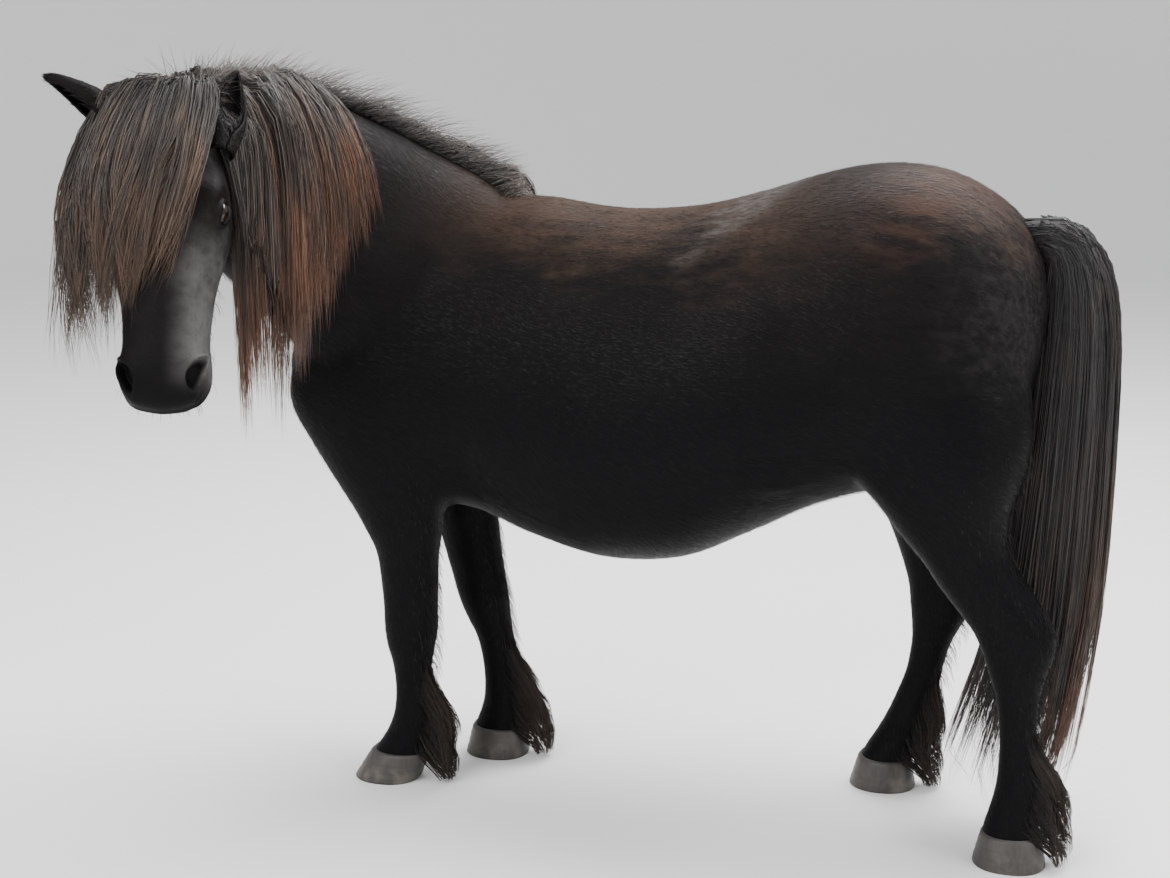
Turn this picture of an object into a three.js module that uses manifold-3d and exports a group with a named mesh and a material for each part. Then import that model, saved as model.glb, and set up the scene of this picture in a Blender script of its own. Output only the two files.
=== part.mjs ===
// A Shetland pony standing four square at life size, its head turned to its left.
// The body is lofted whole from sections, then parted into its named pieces by
// thin cuts. Mane, forelock, tail and feather are flat tapered locks that start
// inside the piece they grow from.
// Units are millimetres. +X runs from head to tail, +Y to the pony's right, +Z up,
// and the soles of the four hooves stand on z = 0.
import * as THREE from 'three';
import { ParametricGeometry } from 'three/addons/geometries/ParametricGeometry.js';
import { mergeVertices } from 'three/addons/utils/BufferGeometryUtils.js';
import Module from 'manifold-3d';

const wasm = await Module();
wasm.setup();

// Middle of the whole model on the ground, which the group is moved by.
const MIDDLE_X = -91;
const MIDDLE_Y = -171;

// Width of the cut between two pieces.
const GAP = 0.3;

// Slivers shorter than this are taken out of the joined pieces.
const TIDY = 0.1;

// Height of the hair line above the sole.
const HOOF_HEIGHT = 44;

// Trunk sections along the back: x, height of the topline, height of the underline,
// height of the widest level, half width, roundness above, roundness below.
const TRUNK = [
  [-646, 708, 636, 672, 42, 2.0, 2.0],
  [-629, 748, 592, 668, 90, 2.0, 2.0],
  [-594, 790, 538, 660, 128, 2.0, 2.0],
  [-544, 834, 492, 652, 152, 2.0, 2.1],
  [-480, 880, 460, 650, 166, 2.0, 2.1],
  [-410, 916, 450, 645, 174, 1.9, 2.1],
  [-330, 938, 446, 635, 180, 1.8, 2.1],
  [-240, 948, 413, 615, 196, 1.8, 2.1],
  [-120, 931, 386, 604, 222, 1.9, 2.1],
  [0, 937, 397, 612, 238, 2.0, 2.1],
  [100, 960, 444, 640, 240, 2.1, 2.1],
  [200, 991, 495, 676, 230, 2.2, 2.1],
  [280, 1005, 520, 700, 218, 2.3, 2.0],
  [360, 999, 556, 708, 212, 2.3, 2.0],
  [430, 969, 606, 712, 196, 2.2, 2.1],
  [480, 928, 650, 730, 160, 2.1, 2.1],
  [510, 884, 700, 775, 106, 2.0, 2.0],
];
const TRUNK_FRONT = [-653, 0, 672];
const TRUNK_REAR = [526, 0, 800];
const TRUNK_AROUND = 22;
const TRUNK_ALONG = 25;

// Neck sections: centre x, y, z, reach up to the crest, reach down, half width.
const NECK = [
  [-300, 0, 735, 196, 170, 100],
  [-400, -8, 772, 206, 185, 120],
  [-480, -42, 824, 202, 188, 118],
  [-548, -106, 892, 186, 168, 102],
  [-602, -190, 953, 164, 150, 88],
  [-636, -275, 998, 126, 132, 79],
  [-652, -345, 1020, 90, 114, 72],
  [-660, -388, 1032, 54, 80, 58],
];
const NECK_END = [-664, -412, 1038];
const NECK_AROUND = 18;
const NECK_ALONG = 13;

// Leg sections, level cuts down the leg: height, x of the front, x of the rear,
// y of the centre, half width across.
const FORE_LEFT = [
  [800, -420, -300, -70, 46],
  [740, -530, -300, -92, 62],
  [690, -604, -306, -102, 69],
  [645, -616, -316, -105, 72],
  [590, -601, -334, -103, 70],
  [535, -573, -352, -99, 66],
  [490, -544, -364, -96, 60],
  [457, -523, -374, -93, 54],
  [420, -503, -380, -91, 48],
  [387, -489, -386, -89, 42],
  [345, -484, -389, -87, 38],
  [300, -481, -391, -85, 36],
  [262, -481, -392, -83, 37],
  [232, -478, -398, -81, 35],
  [200, -471, -404, -79, 28],
  [165, -468, -408, -77, 25],
  [136, -469, -406, -75, 27],
  [110, -474, -400, -73, 31],
  [85, -484, -404, -71, 31],
  [62, -498, -413, -70, 35],
  [HOOF_HEIGHT + GAP, -513, -417, -69, 40],
];
const FORE_RIGHT = [
  [800, -420, -300, 70, 46],
  [740, -528, -300, 92, 62],
  [690, -600, -304, 102, 69],
  [645, -610, -310, 105, 72],
  [590, -590, -320, 103, 70],
  [535, -556, -332, 99, 66],
  [490, -528, -342, 96, 60],
  [457, -498, -348, 94, 54],
  [420, -470, -350, 92, 48],
  [387, -452, -347, 91, 42],
  [345, -440, -342, 89, 38],
  [308, -429, -336, 88, 36],
  [270, -417, -330, 86, 37],
  [238, -404, -326, 85, 34],
  [202, -386, -321, 84, 28],
  [165, -376, -316, 82, 25],
  [136, -372, -310, 81, 27],
  [108, -371, -302, 80, 31],
  [84, -375, -300, 80, 31],
  [62, -382, -300, 79, 35],
  [HOOF_HEIGHT + GAP, -390, -298, 79, 40],
];
const HIND_LEFT = [
  [880, 330, 410, -60, 46],
  [820, 290, 452, -82, 66],
  [750, 262, 490, -102, 86],
  [680, 250, 512, -113, 97],
  [620, 248, 514, -119, 97],
  [570, 263, 504, -122, 90],
  [525, 300, 490, -124, 78],
  [486, 331, 486, -124, 66],
  [451, 363, 498, -125, 58],
  [415, 388, 520, -125, 51],
  [379, 417, 545, -126, 45],
  [350, 439, 559, -126, 41],
  [320, 454, 558, -127, 38],
  [288, 465, 549, -127, 33],
  [250, 477, 541, -127, 28],
  [200, 484, 540, -128, 25],
  [160, 485, 544, -128, 27],
  [122, 483, 553, -128, 31],
  [92, 477, 552, -128, 31],
  [64, 470, 546, -128, 36],
  [HOOF_HEIGHT + GAP, 466, 552, -128, 41],
];
const HIND_RIGHT = [
  [880, 310, 400, 60, 46],
  [820, 266, 444, 82, 66],
  [750, 236, 476, 102, 86],
  [680, 220, 491, 113, 97],
  [620, 212, 486, 118, 97],
  [570, 217, 464, 120, 90],
  [525, 240, 440, 120, 78],
  [486, 262, 420, 120, 66],
  [446, 284, 412, 119, 57],
  [408, 300, 422, 119, 49],
  [374, 312, 436, 118, 44],
  [341, 321, 438, 118, 40],
  [308, 325, 428, 118, 36],
  [278, 328, 410, 118, 31],
  [245, 329, 394, 118, 27],
  [200, 323, 382, 118, 25],
  [160, 310, 368, 118, 27],
  [122, 295, 360, 118, 31],
  [92, 280, 350, 118, 31],
  [64, 264, 340, 118, 36],
  [HOOF_HEIGHT + GAP, 253, 337, 118, 41],
];
const LEG_AROUND = 14;
const LEG_ALONG = 20;

// Hoofs from the sole up to the hair line: height, x of the toe, x of the heel,
// y of the centre, half width.
const HOOFS = {
  fore_left: [[0, -541, -434, -69, 48], [HOOF_HEIGHT, -514, -416, -69, 40]],
  fore_right: [[0, -401, -296, 79, 48], [HOOF_HEIGHT, -391, -297, 79, 40]],
  hind_left: [[0, 455, 561, -128, 49], [HOOF_HEIGHT, 465, 553, -128, 41]],
  hind_right: [[0, 240, 345, 118, 49], [HOOF_HEIGHT, 252, 338, 118, 41]],
};
const HOOF_AROUND = 18;

// Head frame: the poll, the way the nose points over the ground, the nod of the face
// below level and the small lean of the muzzle to the pony's left.
const POLL = new THREE.Vector3(-659, -384, 1066);
const NOSE_TURN = THREE.MathUtils.degToRad(-74);
const NOD = THREE.MathUtils.degToRad(63);
const LEAN = 0.03;

// Head sections from the poll to the lips: distance down the face, reach forwards,
// reach back to the jaw, level of the widest line, half width, roundness in front
// and behind.
const HEAD = [
  [0, 26, -46, 0, 50, 2.0, 2.0],
  [30, 42, -76, 0, 66, 2.2, 2.0],
  [70, 52, -106, 6, 77, 2.3, 2.0],
  [110, 58, -124, 12, 86, 2.4, 2.0],
  [150, 56, -128, 8, 86, 2.4, 2.0],
  [190, 47, -119, -6, 78, 2.4, 2.0],
  [230, 39, -98, -15, 70, 2.5, 2.1],
  [270, 34, -78, -15, 63, 2.6, 2.2],
  [310, 32, -65, -12, 60, 2.6, 2.2],
  [345, 32, -60, -10, 62, 2.4, 2.2],
  [378, 27, -58, -12, 61, 2.3, 2.2],
  [403, 13, -49, -14, 48, 2.1, 2.0],
];
const HEAD_TOP = -16;
const HEAD_TIP = 416;
const HEAD_TIP_LEVEL = -16;
const HEAD_AROUND = 20;
const HEAD_ALONG = 20;

// Colour and roughness of the black coat, of the long hair, which the sun has
// bleached to a rusty brown, of the eyes and of the horn of the hooves.
const FINISHES = {
  coat: [0x181412, 0.72],
  hair: [0x33231b, 0.8],
  eye: [0x120c08, 0.12],
  horn: [0x2c2723, 0.55],
};

// Value of one column of a table, smooth through its rows, t from 0 to 1.
function along(table, column, t) {
  const last = table.length - 1;
  const place = Math.min(Math.max(t, 0), 1) * last;
  const i = Math.min(Math.floor(place), last - 1);
  const f = place - i;
  const p1 = table[i][column];
  const p2 = table[i + 1][column];
  const p0 = i > 0 ? table[i - 1][column] : 2 * p1 - p2;
  const p3 = i + 2 <= last ? table[i + 2][column] : 2 * p2 - p1;
  const a = 0.5 * (p2 - p0);
  const b = 0.5 * (p3 - p1);
  const d = p2 - p1;
  return p1 + f * (a + f * (3 * d - 2 * a - b + f * (a + b - 2 * d)));
}

// Point on a rounded section: cosine and sine raised so that power 2 is an ellipse
// and a higher power is squarer.
function rounded(value, power) {
  return Math.sign(value) * Math.abs(value) ** (2 / power);
}

// Closed solid from a grid function whose first and last rows shrink to a point.
function solidOf(point, around, lengthwise) {
  const geometry = new ParametricGeometry(point, around, lengthwise);
  geometry.deleteAttribute('normal');
  geometry.deleteAttribute('uv');
  const merged = mergeVertices(geometry, 1e-3);
  const corners = merged.index.array;
  const kept = [];
  for (let i = 0; i < corners.length; i += 3) {
    const [a, b, c] = [corners[i], corners[i + 1], corners[i + 2]];
    if (a !== b && b !== c && c !== a) {
      kept.push(a, b, c);
    }
  }
  const mesh = new wasm.Mesh({
    numProp: 3,
    vertProperties: new Float32Array(merged.attributes.position.array),
    triVerts: new Uint32Array(kept),
  });
  const solid = new wasm.Manifold(mesh);
  if (solid.volume() > 0) {
    return solid;
  }
  for (let i = 0; i < kept.length; i += 3) {
    [kept[i], kept[i + 1]] = [kept[i + 1], kept[i]];
  }
  return new wasm.Manifold(new wasm.Mesh({
    numProp: 3,
    vertProperties: new Float32Array(merged.attributes.position.array),
    triVerts: new Uint32Array(kept),
  }));
}

// Solid of any three.js geometry that is closed.
function solidFrom(geometry) {
  const plain = geometry.index ? geometry.toNonIndexed() : geometry.clone();
  plain.deleteAttribute('normal');
  plain.deleteAttribute('uv');
  const merged = mergeVertices(plain, 1e-3);
  return new wasm.Manifold(new wasm.Mesh({
    numProp: 3,
    vertProperties: new Float32Array(merged.attributes.position.array),
    triVerts: new Uint32Array(merged.index.array),
  }));
}

// Loft whose rows are sections: row t gives its point at angle a, and both ends
// close on a given point.
function loft(section, start, end, around, lengthwise) {
  const rows = lengthwise + 2;
  return solidOf((u, v, target) => {
    const row = Math.round(v * rows * 1e6) / 1e6;
    if (row < 0.5) {
      target.copy(start);
    } else if (row > rows - 0.5) {
      target.copy(end);
    } else {
      section((row - 1) / lengthwise, 2 * Math.PI * (u % 1), target);
    }
  }, around, rows);
}

// Trunk, with grow added to its sizes all round.
function trunk(grow = 0) {
  const section = (t, a, target) => {
    const c = Math.cos(a);
    const s = Math.sin(a);
    const top = along(TRUNK, 1, t) + grow;
    const bottom = along(TRUNK, 2, t) - grow;
    const level = along(TRUNK, 3, t);
    const half = along(TRUNK, 4, t) + grow;
    const power = along(TRUNK, s > 0 ? 5 : 6, t);
    const reach = s > 0 ? top - level : level - bottom;
    target.set(along(TRUNK, 0, t), half * rounded(c, power), level + reach * rounded(s, power));
  };
  const start = new THREE.Vector3(TRUNK_FRONT[0] - grow, TRUNK_FRONT[1], TRUNK_FRONT[2]);
  const end = new THREE.Vector3(TRUNK_REAR[0] + grow, TRUNK_REAR[1], TRUNK_REAR[2]);
  return loft(section, start, end, TRUNK_AROUND, TRUNK_ALONG);
}

// Frame of the neck at t: centre, sideways and upwards directions.
function neckFrame(t) {
  const centre = new THREE.Vector3(along(NECK, 0, t), along(NECK, 1, t), along(NECK, 2, t));
  const step = 0.01;
  const ahead = new THREE.Vector3(
    along(NECK, 0, t + step) - along(NECK, 0, t - step),
    along(NECK, 1, t + step) - along(NECK, 1, t - step),
    along(NECK, 2, t + step) - along(NECK, 2, t - step),
  ).normalize();
  const side = new THREE.Vector3(0, 0, 1).cross(ahead).normalize();
  const up = new THREE.Vector3().crossVectors(ahead, side);
  return { centre, ahead, side, up };
}

// Neck, with grow added to its sizes.
function neck(grow = 0) {
  const section = (t, a, target) => {
    const { centre, side, up } = neckFrame(t);
    const c = Math.cos(a);
    const s = Math.sin(a);
    const reach = along(NECK, s > 0 ? 3 : 4, t) + grow;
    target.copy(centre);
    target.addScaledVector(side, (along(NECK, 5, t) + grow) * c);
    target.addScaledVector(up, reach * s);
  };
  const start = new THREE.Vector3(...NECK[0]).setX(NECK[0][0] + 20);
  const end = new THREE.Vector3(...NECK_END);
  return loft(section, start, end, NECK_AROUND, NECK_ALONG);
}

// Leg from its level sections.
function leg(table, grow = 0) {
  const section = (t, a, target) => {
    const front = along(table, 1, t) - grow;
    const rear = along(table, 2, t) + grow;
    const half = along(table, 4, t) + grow;
    const x = (front + rear) / 2 + (rear - front) / 2 * rounded(Math.cos(a), 2.2);
    target.set(x, along(table, 3, t) + half * rounded(Math.sin(a), 2.2), along(table, 0, t));
  };
  const first = table[0];
  const last = table[table.length - 1];
  const start = new THREE.Vector3((first[1] + first[2]) / 2, first[3], first[0] + 30);
  const end = new THREE.Vector3((last[1] + last[2]) / 2, last[3], last[0] - GAP);
  return loft(section, start, end, LEG_AROUND, LEG_ALONG);
}

// Head frame: down the face, forwards from it, and to the pony's left.
const nose = new THREE.Vector3(Math.cos(NOSE_TURN), Math.sin(NOSE_TURN), 0);
const left = new THREE.Vector3(0, 0, 1).cross(nose);
const down = nose.clone().multiplyScalar(Math.cos(NOD))
  .addScaledVector(new THREE.Vector3(0, 0, 1), -Math.sin(NOD))
  .addScaledVector(left, LEAN)
  .normalize();
const front = new THREE.Vector3().crossVectors(down, left).normalize();
left.crossVectors(front, down);

// Point of the head frame: distance down the face, forwards, to the left.
function headPoint(s, f, l, target = new THREE.Vector3()) {
  return target.copy(POLL).addScaledVector(down, s).addScaledVector(front, f).addScaledVector(left, l);
}

// Head, with grow added to its sizes.
function head(grow = 0) {
  const section = (t, a, target) => {
    const c = Math.cos(a);
    const s = Math.sin(a);
    const level = along(HEAD, 3, t);
    const reach = s > 0 ? along(HEAD, 1, t) + grow - level : level - along(HEAD, 2, t) + grow;
    const power = along(HEAD, s > 0 ? 5 : 6, t);
    const half = along(HEAD, 4, t) + grow;
    headPoint(along(HEAD, 0, t), level + reach * rounded(s, power), half * rounded(c, power), target);
  };
  const start = headPoint(HEAD_TOP - grow, -10, 0);
  const end = headPoint(HEAD_TIP + grow, HEAD_TIP_LEVEL, 0);
  return loft(section, start, end, HEAD_AROUND, HEAD_ALONG);
}

// Ball or egg: centre, three half sizes along three directions.
function egg(centre, halves, axes, around = 16, lengthwise = 10) {
  return solidOf((u, v, target) => {
    const a = 2 * Math.PI * (u % 1);
    const b = Math.PI * v;
    target.copy(centre);
    target.addScaledVector(axes[0], halves[0] * Math.cos(b));
    target.addScaledVector(axes[1], halves[1] * Math.sin(b) * Math.cos(a));
    target.addScaledVector(axes[2], halves[2] * Math.sin(b) * Math.sin(a));
  }, around, lengthwise);
}

// Block with its middle moved from a point along the normal, by which its depth
// lies; a thin one is the cut between two pieces.
function block(point, normal, width, height, depth, shift) {
  const box = new THREE.BoxGeometry(width, height, depth);
  const turn = new THREE.Quaternion().setFromUnitVectors(new THREE.Vector3(0, 0, 1), normal);
  box.applyQuaternion(turn);
  const centre = point.clone().addScaledVector(normal, shift);
  box.translate(centre.x, centre.y, centre.z);
  return solidFrom(box);
}

// Hoof, with grow added to its sizes above the sole.
function hoof(rows, grow = 0) {
  const section = (t, a, target) => {
    const toe = along(rows, 1, t) - grow;
    const heel = along(rows, 2, t) + grow;
    const half = along(rows, 4, t) + grow;
    const x = (toe + heel) / 2 + (heel - toe) / 2 * rounded(Math.cos(a), 2.2);
    const z = along(rows, 0, t) + (t === 0 ? -grow : grow);
    target.set(x, along(rows, 3, t) + half * rounded(Math.sin(a), 2.3), z);
  };
  const centre = new THREE.Vector3((rows[0][1] + rows[0][2]) / 2, rows[0][3], -grow);
  const top = centre.clone().setZ(rows[1][0] + grow);
  return loft(section, centre, top, HOOF_AROUND, 2);
}

// Largest closed surface of a solid.
function largest(solid) {
  return solid.decompose().sort((a, b) => b.volume() - a.volume())[0];
}

const group = new THREE.Group();
group.position.set(-MIDDLE_X, -MIDDLE_Y, 0);

// Adds one solid to the model as a named mesh.
function addMesh(name, solid, [colour, roughness]) {
  const mesh = solid.getMesh();
  const geometry = new THREE.BufferGeometry();
  geometry.setAttribute('position', new THREE.BufferAttribute(new Float32Array(mesh.vertProperties), 3));
  geometry.setIndex(new THREE.BufferAttribute(new Uint32Array(mesh.triVerts), 1));
  const material = new THREE.MeshStandardMaterial({ color: colour, roughness, metalness: 0 });
  const part = new THREE.Mesh(geometry, material);
  part.name = name;
  group.add(part);
}

// Whole flesh of the pony.
function flesh(grow = 0) {
  const legs = [FORE_LEFT, FORE_RIGHT, HIND_LEFT, HIND_RIGHT].map((table) => leg(table, grow));
  return wasm.Manifold.union([trunk(grow), neck(grow), head(grow), ...legs]);
}

// Cuts between the pieces: a point of the plane, the side it faces, width and height.
const CUTS = {
  neck: [new THREE.Vector3(-500, -60, 822), new THREE.Vector3(-0.6, -0.06, 0.8), 500, 560],
  head: [headPoint(70, -84, 0), down.clone().multiplyScalar(0.42).addScaledVector(front, 0.9), 300, 330],
  fore_left: [new THREE.Vector3(-470, -118, 480), new THREE.Vector3(0, 0.55, 0.84), 260, 250],
  fore_right: [new THREE.Vector3(-450, 118, 480), new THREE.Vector3(0, -0.55, 0.84), 260, 250],
  hind_left: [new THREE.Vector3(400, -130, 512), new THREE.Vector3(-0.1, 0.2, 0.97), 210, 240],
  hind_right: [new THREE.Vector3(345, 130, 498), new THREE.Vector3(-0.2, -0.2, 0.96), 220, 240],
  knee_left: [new THREE.Vector3(-435, -80, 205), new THREE.Vector3(0, 0, 1), 160, 120],
  knee_right: [new THREE.Vector3(-352, 84, 205), new THREE.Vector3(0, 0, 1), 160, 120],
  hock_left: [new THREE.Vector3(508, -127, 262), new THREE.Vector3(0, 0, 1), 160, 120],
  hock_right: [new THREE.Vector3(362, 118, 262), new THREE.Vector3(0, 0, 1), 160, 120],
};

// Frames of the neck, head and trunk that hair is laid over: centre, directions and
// reach on each side of it.
const FRAMES = 30;
const shells = [[], [], []];
for (let i = 0; i <= FRAMES; i += 1) {
  const t = i / FRAMES;
  const { centre, ahead, side, up } = neckFrame(t);
  shells[0].push({
    centre,
    ahead,
    side,
    up,
    half: along(NECK, 5, t),
    above: along(NECK, 3, t),
    below: along(NECK, 4, t),
  });
  const level = along(HEAD, 3, t);
  shells[1].push({
    centre: headPoint(along(HEAD, 0, t), level, 0),
    ahead: down,
    side: left,
    up: front,
    half: along(HEAD, 4, t),
    above: along(HEAD, 1, t) - level,
    below: level - along(HEAD, 2, t),
  });
  shells[2].push({
    centre: new THREE.Vector3(along(TRUNK, 0, t), 0, along(TRUNK, 3, t)),
    ahead: new THREE.Vector3(1, 0, 0),
    side: new THREE.Vector3(0, -1, 0),
    up: new THREE.Vector3(0, 0, 1),
    half: along(TRUNK, 4, t),
    above: along(TRUNK, 1, t) - along(TRUNK, 3, t),
    below: along(TRUNK, 3, t) - along(TRUNK, 2, t),
  });
}

// Moves a point out of the body to a clearance and gives the way out there, or null
// where the point is already clear of everything.
function settle(point, clearance) {
  let way = null;
  for (const frames of shells) {
    const frame = frames.reduce((a, b) => (
      b.centre.distanceToSquared(point) < a.centre.distanceToSquared(point) ? b : a));
    const from = point.clone().sub(frame.centre);
    if (Math.abs(from.dot(frame.ahead)) > 40) {
      continue;
    }
    const c = from.dot(frame.side);
    const s = from.dot(frame.up);
    const reach = s > 0 ? frame.above : frame.below;
    const q = Math.max(Math.hypot(c / frame.half, s / reach), 1e-3);
    const distance = Math.hypot(c, s) * (1 - 1 / q);
    if (distance < clearance) {
      way = frame.side.clone().multiplyScalar(c / frame.half ** 2)
        .addScaledVector(frame.up, s / reach ** 2).normalize();
      point.addScaledVector(way, clearance - distance);
    }
  }
  return way;
}

// Path of a lock from its root: it bends to the ground step by step and lies on
// whatever it meets.
const DOWNWARDS = new THREE.Vector3(0, 0, -1);
function drape(root, heading, length, steps, fall, clearance) {
  const path = [];
  const point = root.clone();
  const way = heading.clone().normalize();
  let normal = new THREE.Vector3(0, 0, 1).addScaledVector(way, -way.z).normalize();
  for (let i = 0; i <= steps; i += 1) {
    const before = point.clone();
    const out = i > 0 ? settle(point, clearance) : null;
    if (out) {
      normal = out;
    }
    if (i > 0) {
      way.addScaledVector(point.clone().sub(before), steps / length).normalize();
    }
    normal = normal.clone().addScaledVector(way, -normal.dot(way)).normalize();
    path.push({ point: point.clone(), normal, way: way.clone() });
    way.lerp(DOWNWARDS, fall).normalize();
    point.addScaledVector(way, length / steps);
  }
  return path;
}

// Flat tapered lock along a path: four sides, widest in its upper half, running out
// to a point.
function lock(path, width, thickness, grow = 0) {
  const rows = path.length - 2;
  const section = (t, a, target) => {
    const station = 1 + Math.round(t * (rows - 1));
    const { point, normal, way } = path[station];
    const side = new THREE.Vector3().crossVectors(way, normal);
    const f = station / (path.length - 1);
    const fullness = (1 - f ** 3.5) * (0.6 + 0.4 * Math.sin(Math.PI * Math.min(1, 1.5 * f)));
    const wide = width / 2 * fullness + grow;
    const thick = thickness / 2 * (1 - 0.6 * f) + grow;
    target.copy(point).addScaledVector(side, wide * Math.cos(a)).addScaledVector(normal, thick * Math.sin(a));
  };
  return loft(section, path[0].point, path[path.length - 1].point, 4, rows - 1);
}

// Path of a lock through given points, its flat side turned to face one way.
function asPath(points, facing) {
  return points.map((point, i) => {
    const ahead = points[Math.min(i + 1, points.length - 1)];
    const way = ahead.clone().sub(points[Math.max(i - 1, 0)]).normalize();
    const normal = facing.clone().addScaledVector(way, -facing.dot(way)).normalize();
    return { point, normal, way };
  });
}

// Union of many solids.
function together(solids) {
  return wasm.Manifold.union(solids);
}

// Seeded numbers from 0 to 1.
function seeded(seed) {
  let state = seed;
  return () => {
    state = (state * 1664525 + 1013904223) % 4294967296;
    return state / 4294967296;
  };
}

// Mane: rows of locks along the crest, from and to being places along the neck and
// side 1 the pony's left. The front half falls to the left in long locks over a
// fringe beside the cheek; the whole crest also falls to the right.
const MANE = [
  { count: 8, from: 0.98, to: 0.5, side: 1, rise: 0.3, long: 430, short: 190, lift: 4, lean: 0.1 },
  { count: 8, from: 0.96, to: 0.54, side: 1, rise: 0.7, long: 410, short: 210, lift: 14, lean: 0.25 },
  { count: 7, from: 0.97, to: 0.14, side: -1, rise: 1.3, long: 300, short: 220, lift: 8, lean: 0.1 },
];
const MANE_WIDTH = 78;
const MANE_THICKNESS = 24;
const MANE_ROOT_DEPTH = 24;
const MANE_FALL = 0.62;
const MANE_STEPS = 6;
function maneLocks(grow = 0) {
  const random = seeded(7);
  const locks = [];
  for (const row of MANE) {
    for (let i = 0; i < row.count; i += 1) {
      const f = i / (row.count - 1);
      const t = row.from + (row.to - row.from) * f ** 1.3;
      const { centre, ahead, side, up } = neckFrame(t);
      const root = centre.clone().addScaledVector(up, along(NECK, 3, t) - MANE_ROOT_DEPTH);
      const heading = side.clone().multiplyScalar(row.side).addScaledVector(up, row.rise)
        .addScaledVector(ahead, row.lean + 0.2 * (random() - 0.5));
      const length = (row.long + (row.short - row.long) * f) * (0.92 + 0.16 * random());
      const path = drape(root, heading, length, MANE_STEPS, MANE_FALL, row.lift);
      locks.push(lock(path, MANE_WIDTH, MANE_THICKNESS, grow));
    }
  }
  return together(locks);
}

// Place in the head table, 0 to 1, of a distance down the face.
function downFace(s) {
  const row = Math.max(1, HEAD.findIndex((entry) => entry[0] > s));
  const before = HEAD[row - 1][0];
  return Math.max(0, row - 1 + (s - before) / (HEAD[row][0] - before)) / (HEAD.length - 1);
}

// Point over the face, s down it and l to the left of its middle, lifted off it.
// Beyond the side of the head it stays at the widest level.
const FACE_POWER = 2.4;
function overFace(s, l, lift, target = new THREE.Vector3()) {
  const t = downFace(s);
  const level = along(HEAD, 3, t);
  const reach = along(HEAD, 1, t) - level + lift;
  const outwards = Math.min(Math.abs(l) / (along(HEAD, 4, t) + lift), 1);
  return headPoint(s, level + reach * (1 - outwards ** FACE_POWER) ** (1 / FACE_POWER), l, target);
}

// Forelock: it springs from the poll between the ears and sweeps over the forehead to
// the pony's right, hiding that eye. Place p runs from 0, the lock beside the left
// ear, which sweeps late and low, to 1, the outermost, which arches out at once. It
// rises over the poll in a dome before it falls.
const FORELOCK = { count: 11, width: 62, thickness: 24, rootDepth: 16, rise: 42, dome: 38, steps: 6 };
function forelockPoint(p, k, lift, length = 1) {
  const start = 68 - 78 * p;
  const end = -35 - 80 * p;
  const sweep = k ** (3 * 6 ** -p);
  const l = start + (end - start) * sweep - 58 * p * Math.sin(Math.PI * k) ** 0.8;
  const rise = FORELOCK.rise * Math.sin(Math.PI * Math.min(1, 2 * k));
  const s = -12 + (250 + 50 * p) * length * k ** 1.6 - rise;
  const dome = FORELOCK.dome * (1 - 0.4 * k) * Math.sin(Math.PI * Math.min(1, 0.8 * k + 0.15));
  return overFace(s, l, k > 0 ? lift + dome : -FORELOCK.rootDepth);
}
function foreLocks(grow = 0) {
  const random = seeded(11);
  const locks = [];
  for (let i = 0; i < FORELOCK.count; i += 1) {
    const p = i / (FORELOCK.count - 1);
    const lift = 4 + 10 * (i % 2);
    const length = 0.95 + 0.12 * random();
    const points = [];
    for (let k = 0; k <= FORELOCK.steps; k += 1) {
      points.push(forelockPoint(p, k / FORELOCK.steps, lift, length));
    }
    locks.push(lock(asPath(points, front), FORELOCK.width, FORELOCK.thickness, grow));
  }
  return together(locks);
}

// Ear: a leaf rolled into a cup. Each has its root, the way it points and the way it
// opens.
const EAR_LENGTH = 116;
const EAR = [
  [-24, 18, 16],
  [4, 23, 20],
  [30, 28, 21],
  [58, 27, 18],
  [84, 19, 12],
  [104, 9, 7],
];
const EAR_WALL = 4;
const EARS = {
  left: {
    root: headPoint(34, 10, 76),
    axis: new THREE.Vector3(0, 0, 0.6).addScaledVector(left, 0.05).addScaledVector(nose, -0.5),
    open: nose.clone().multiplyScalar(0.9).addScaledVector(left, 0.45),
  },
  right: {
    root: headPoint(0, -8, -74),
    axis: new THREE.Vector3(0, 0, 0.6).addScaledVector(left, -0.8).addScaledVector(nose, 0.1),
    open: nose.clone().multiplyScalar(0.55).addScaledVector(left, -0.5).add(new THREE.Vector3(0, 0, -0.7)),
  },
};
function ear({ root, axis, open }, grow = 0) {
  const up = axis.clone().normalize();
  const ahead = open.clone().addScaledVector(up, -open.dot(up)).normalize();
  const side = new THREE.Vector3().crossVectors(up, ahead);
  const shape = (inset, shift, first) => loft((t, a, target) => {
    const bend = along(EAR, 0, t);
    target.copy(root).addScaledVector(up, Math.max(bend, first))
      .addScaledVector(side, (along(EAR, 1, t) - inset) * Math.cos(a))
      .addScaledVector(ahead, (along(EAR, 2, t) - inset) * Math.sin(a) + shift);
  }, root.clone().addScaledVector(up, Math.max(EAR[0][0], first) - grow).addScaledVector(ahead, shift),
  root.clone().addScaledVector(up, EAR_LENGTH - inset).addScaledVector(ahead, shift), 12, 7);
  const outer = shape(-grow, 0, -99);
  return grow > 0 ? outer : outer.subtract(shape(EAR_WALL, 9, 6));
}

// Eye: a ball behind an almond opening in its lids.
const EYE_RADIUS = 19;
const LID = 4;
const EYES = { left: headPoint(143, 16, 67), right: headPoint(143, 16, -67) };
function outward(sign) {
  return left.clone().multiplyScalar(sign).addScaledVector(front, 0.28).normalize();
}
function eyeAxes(sign) {
  const out = outward(sign);
  const length = down.clone().addScaledVector(front, 0.12).addScaledVector(out, -down.dot(out)).normalize();
  return [out, length, new THREE.Vector3().crossVectors(out, length)];
}
function eyeball(side, sign, grow, around, lengthwise) {
  const radius = EYE_RADIUS + grow;
  return egg(EYES[side], [radius, radius, radius], eyeAxes(sign), around, lengthwise);
}

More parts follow.
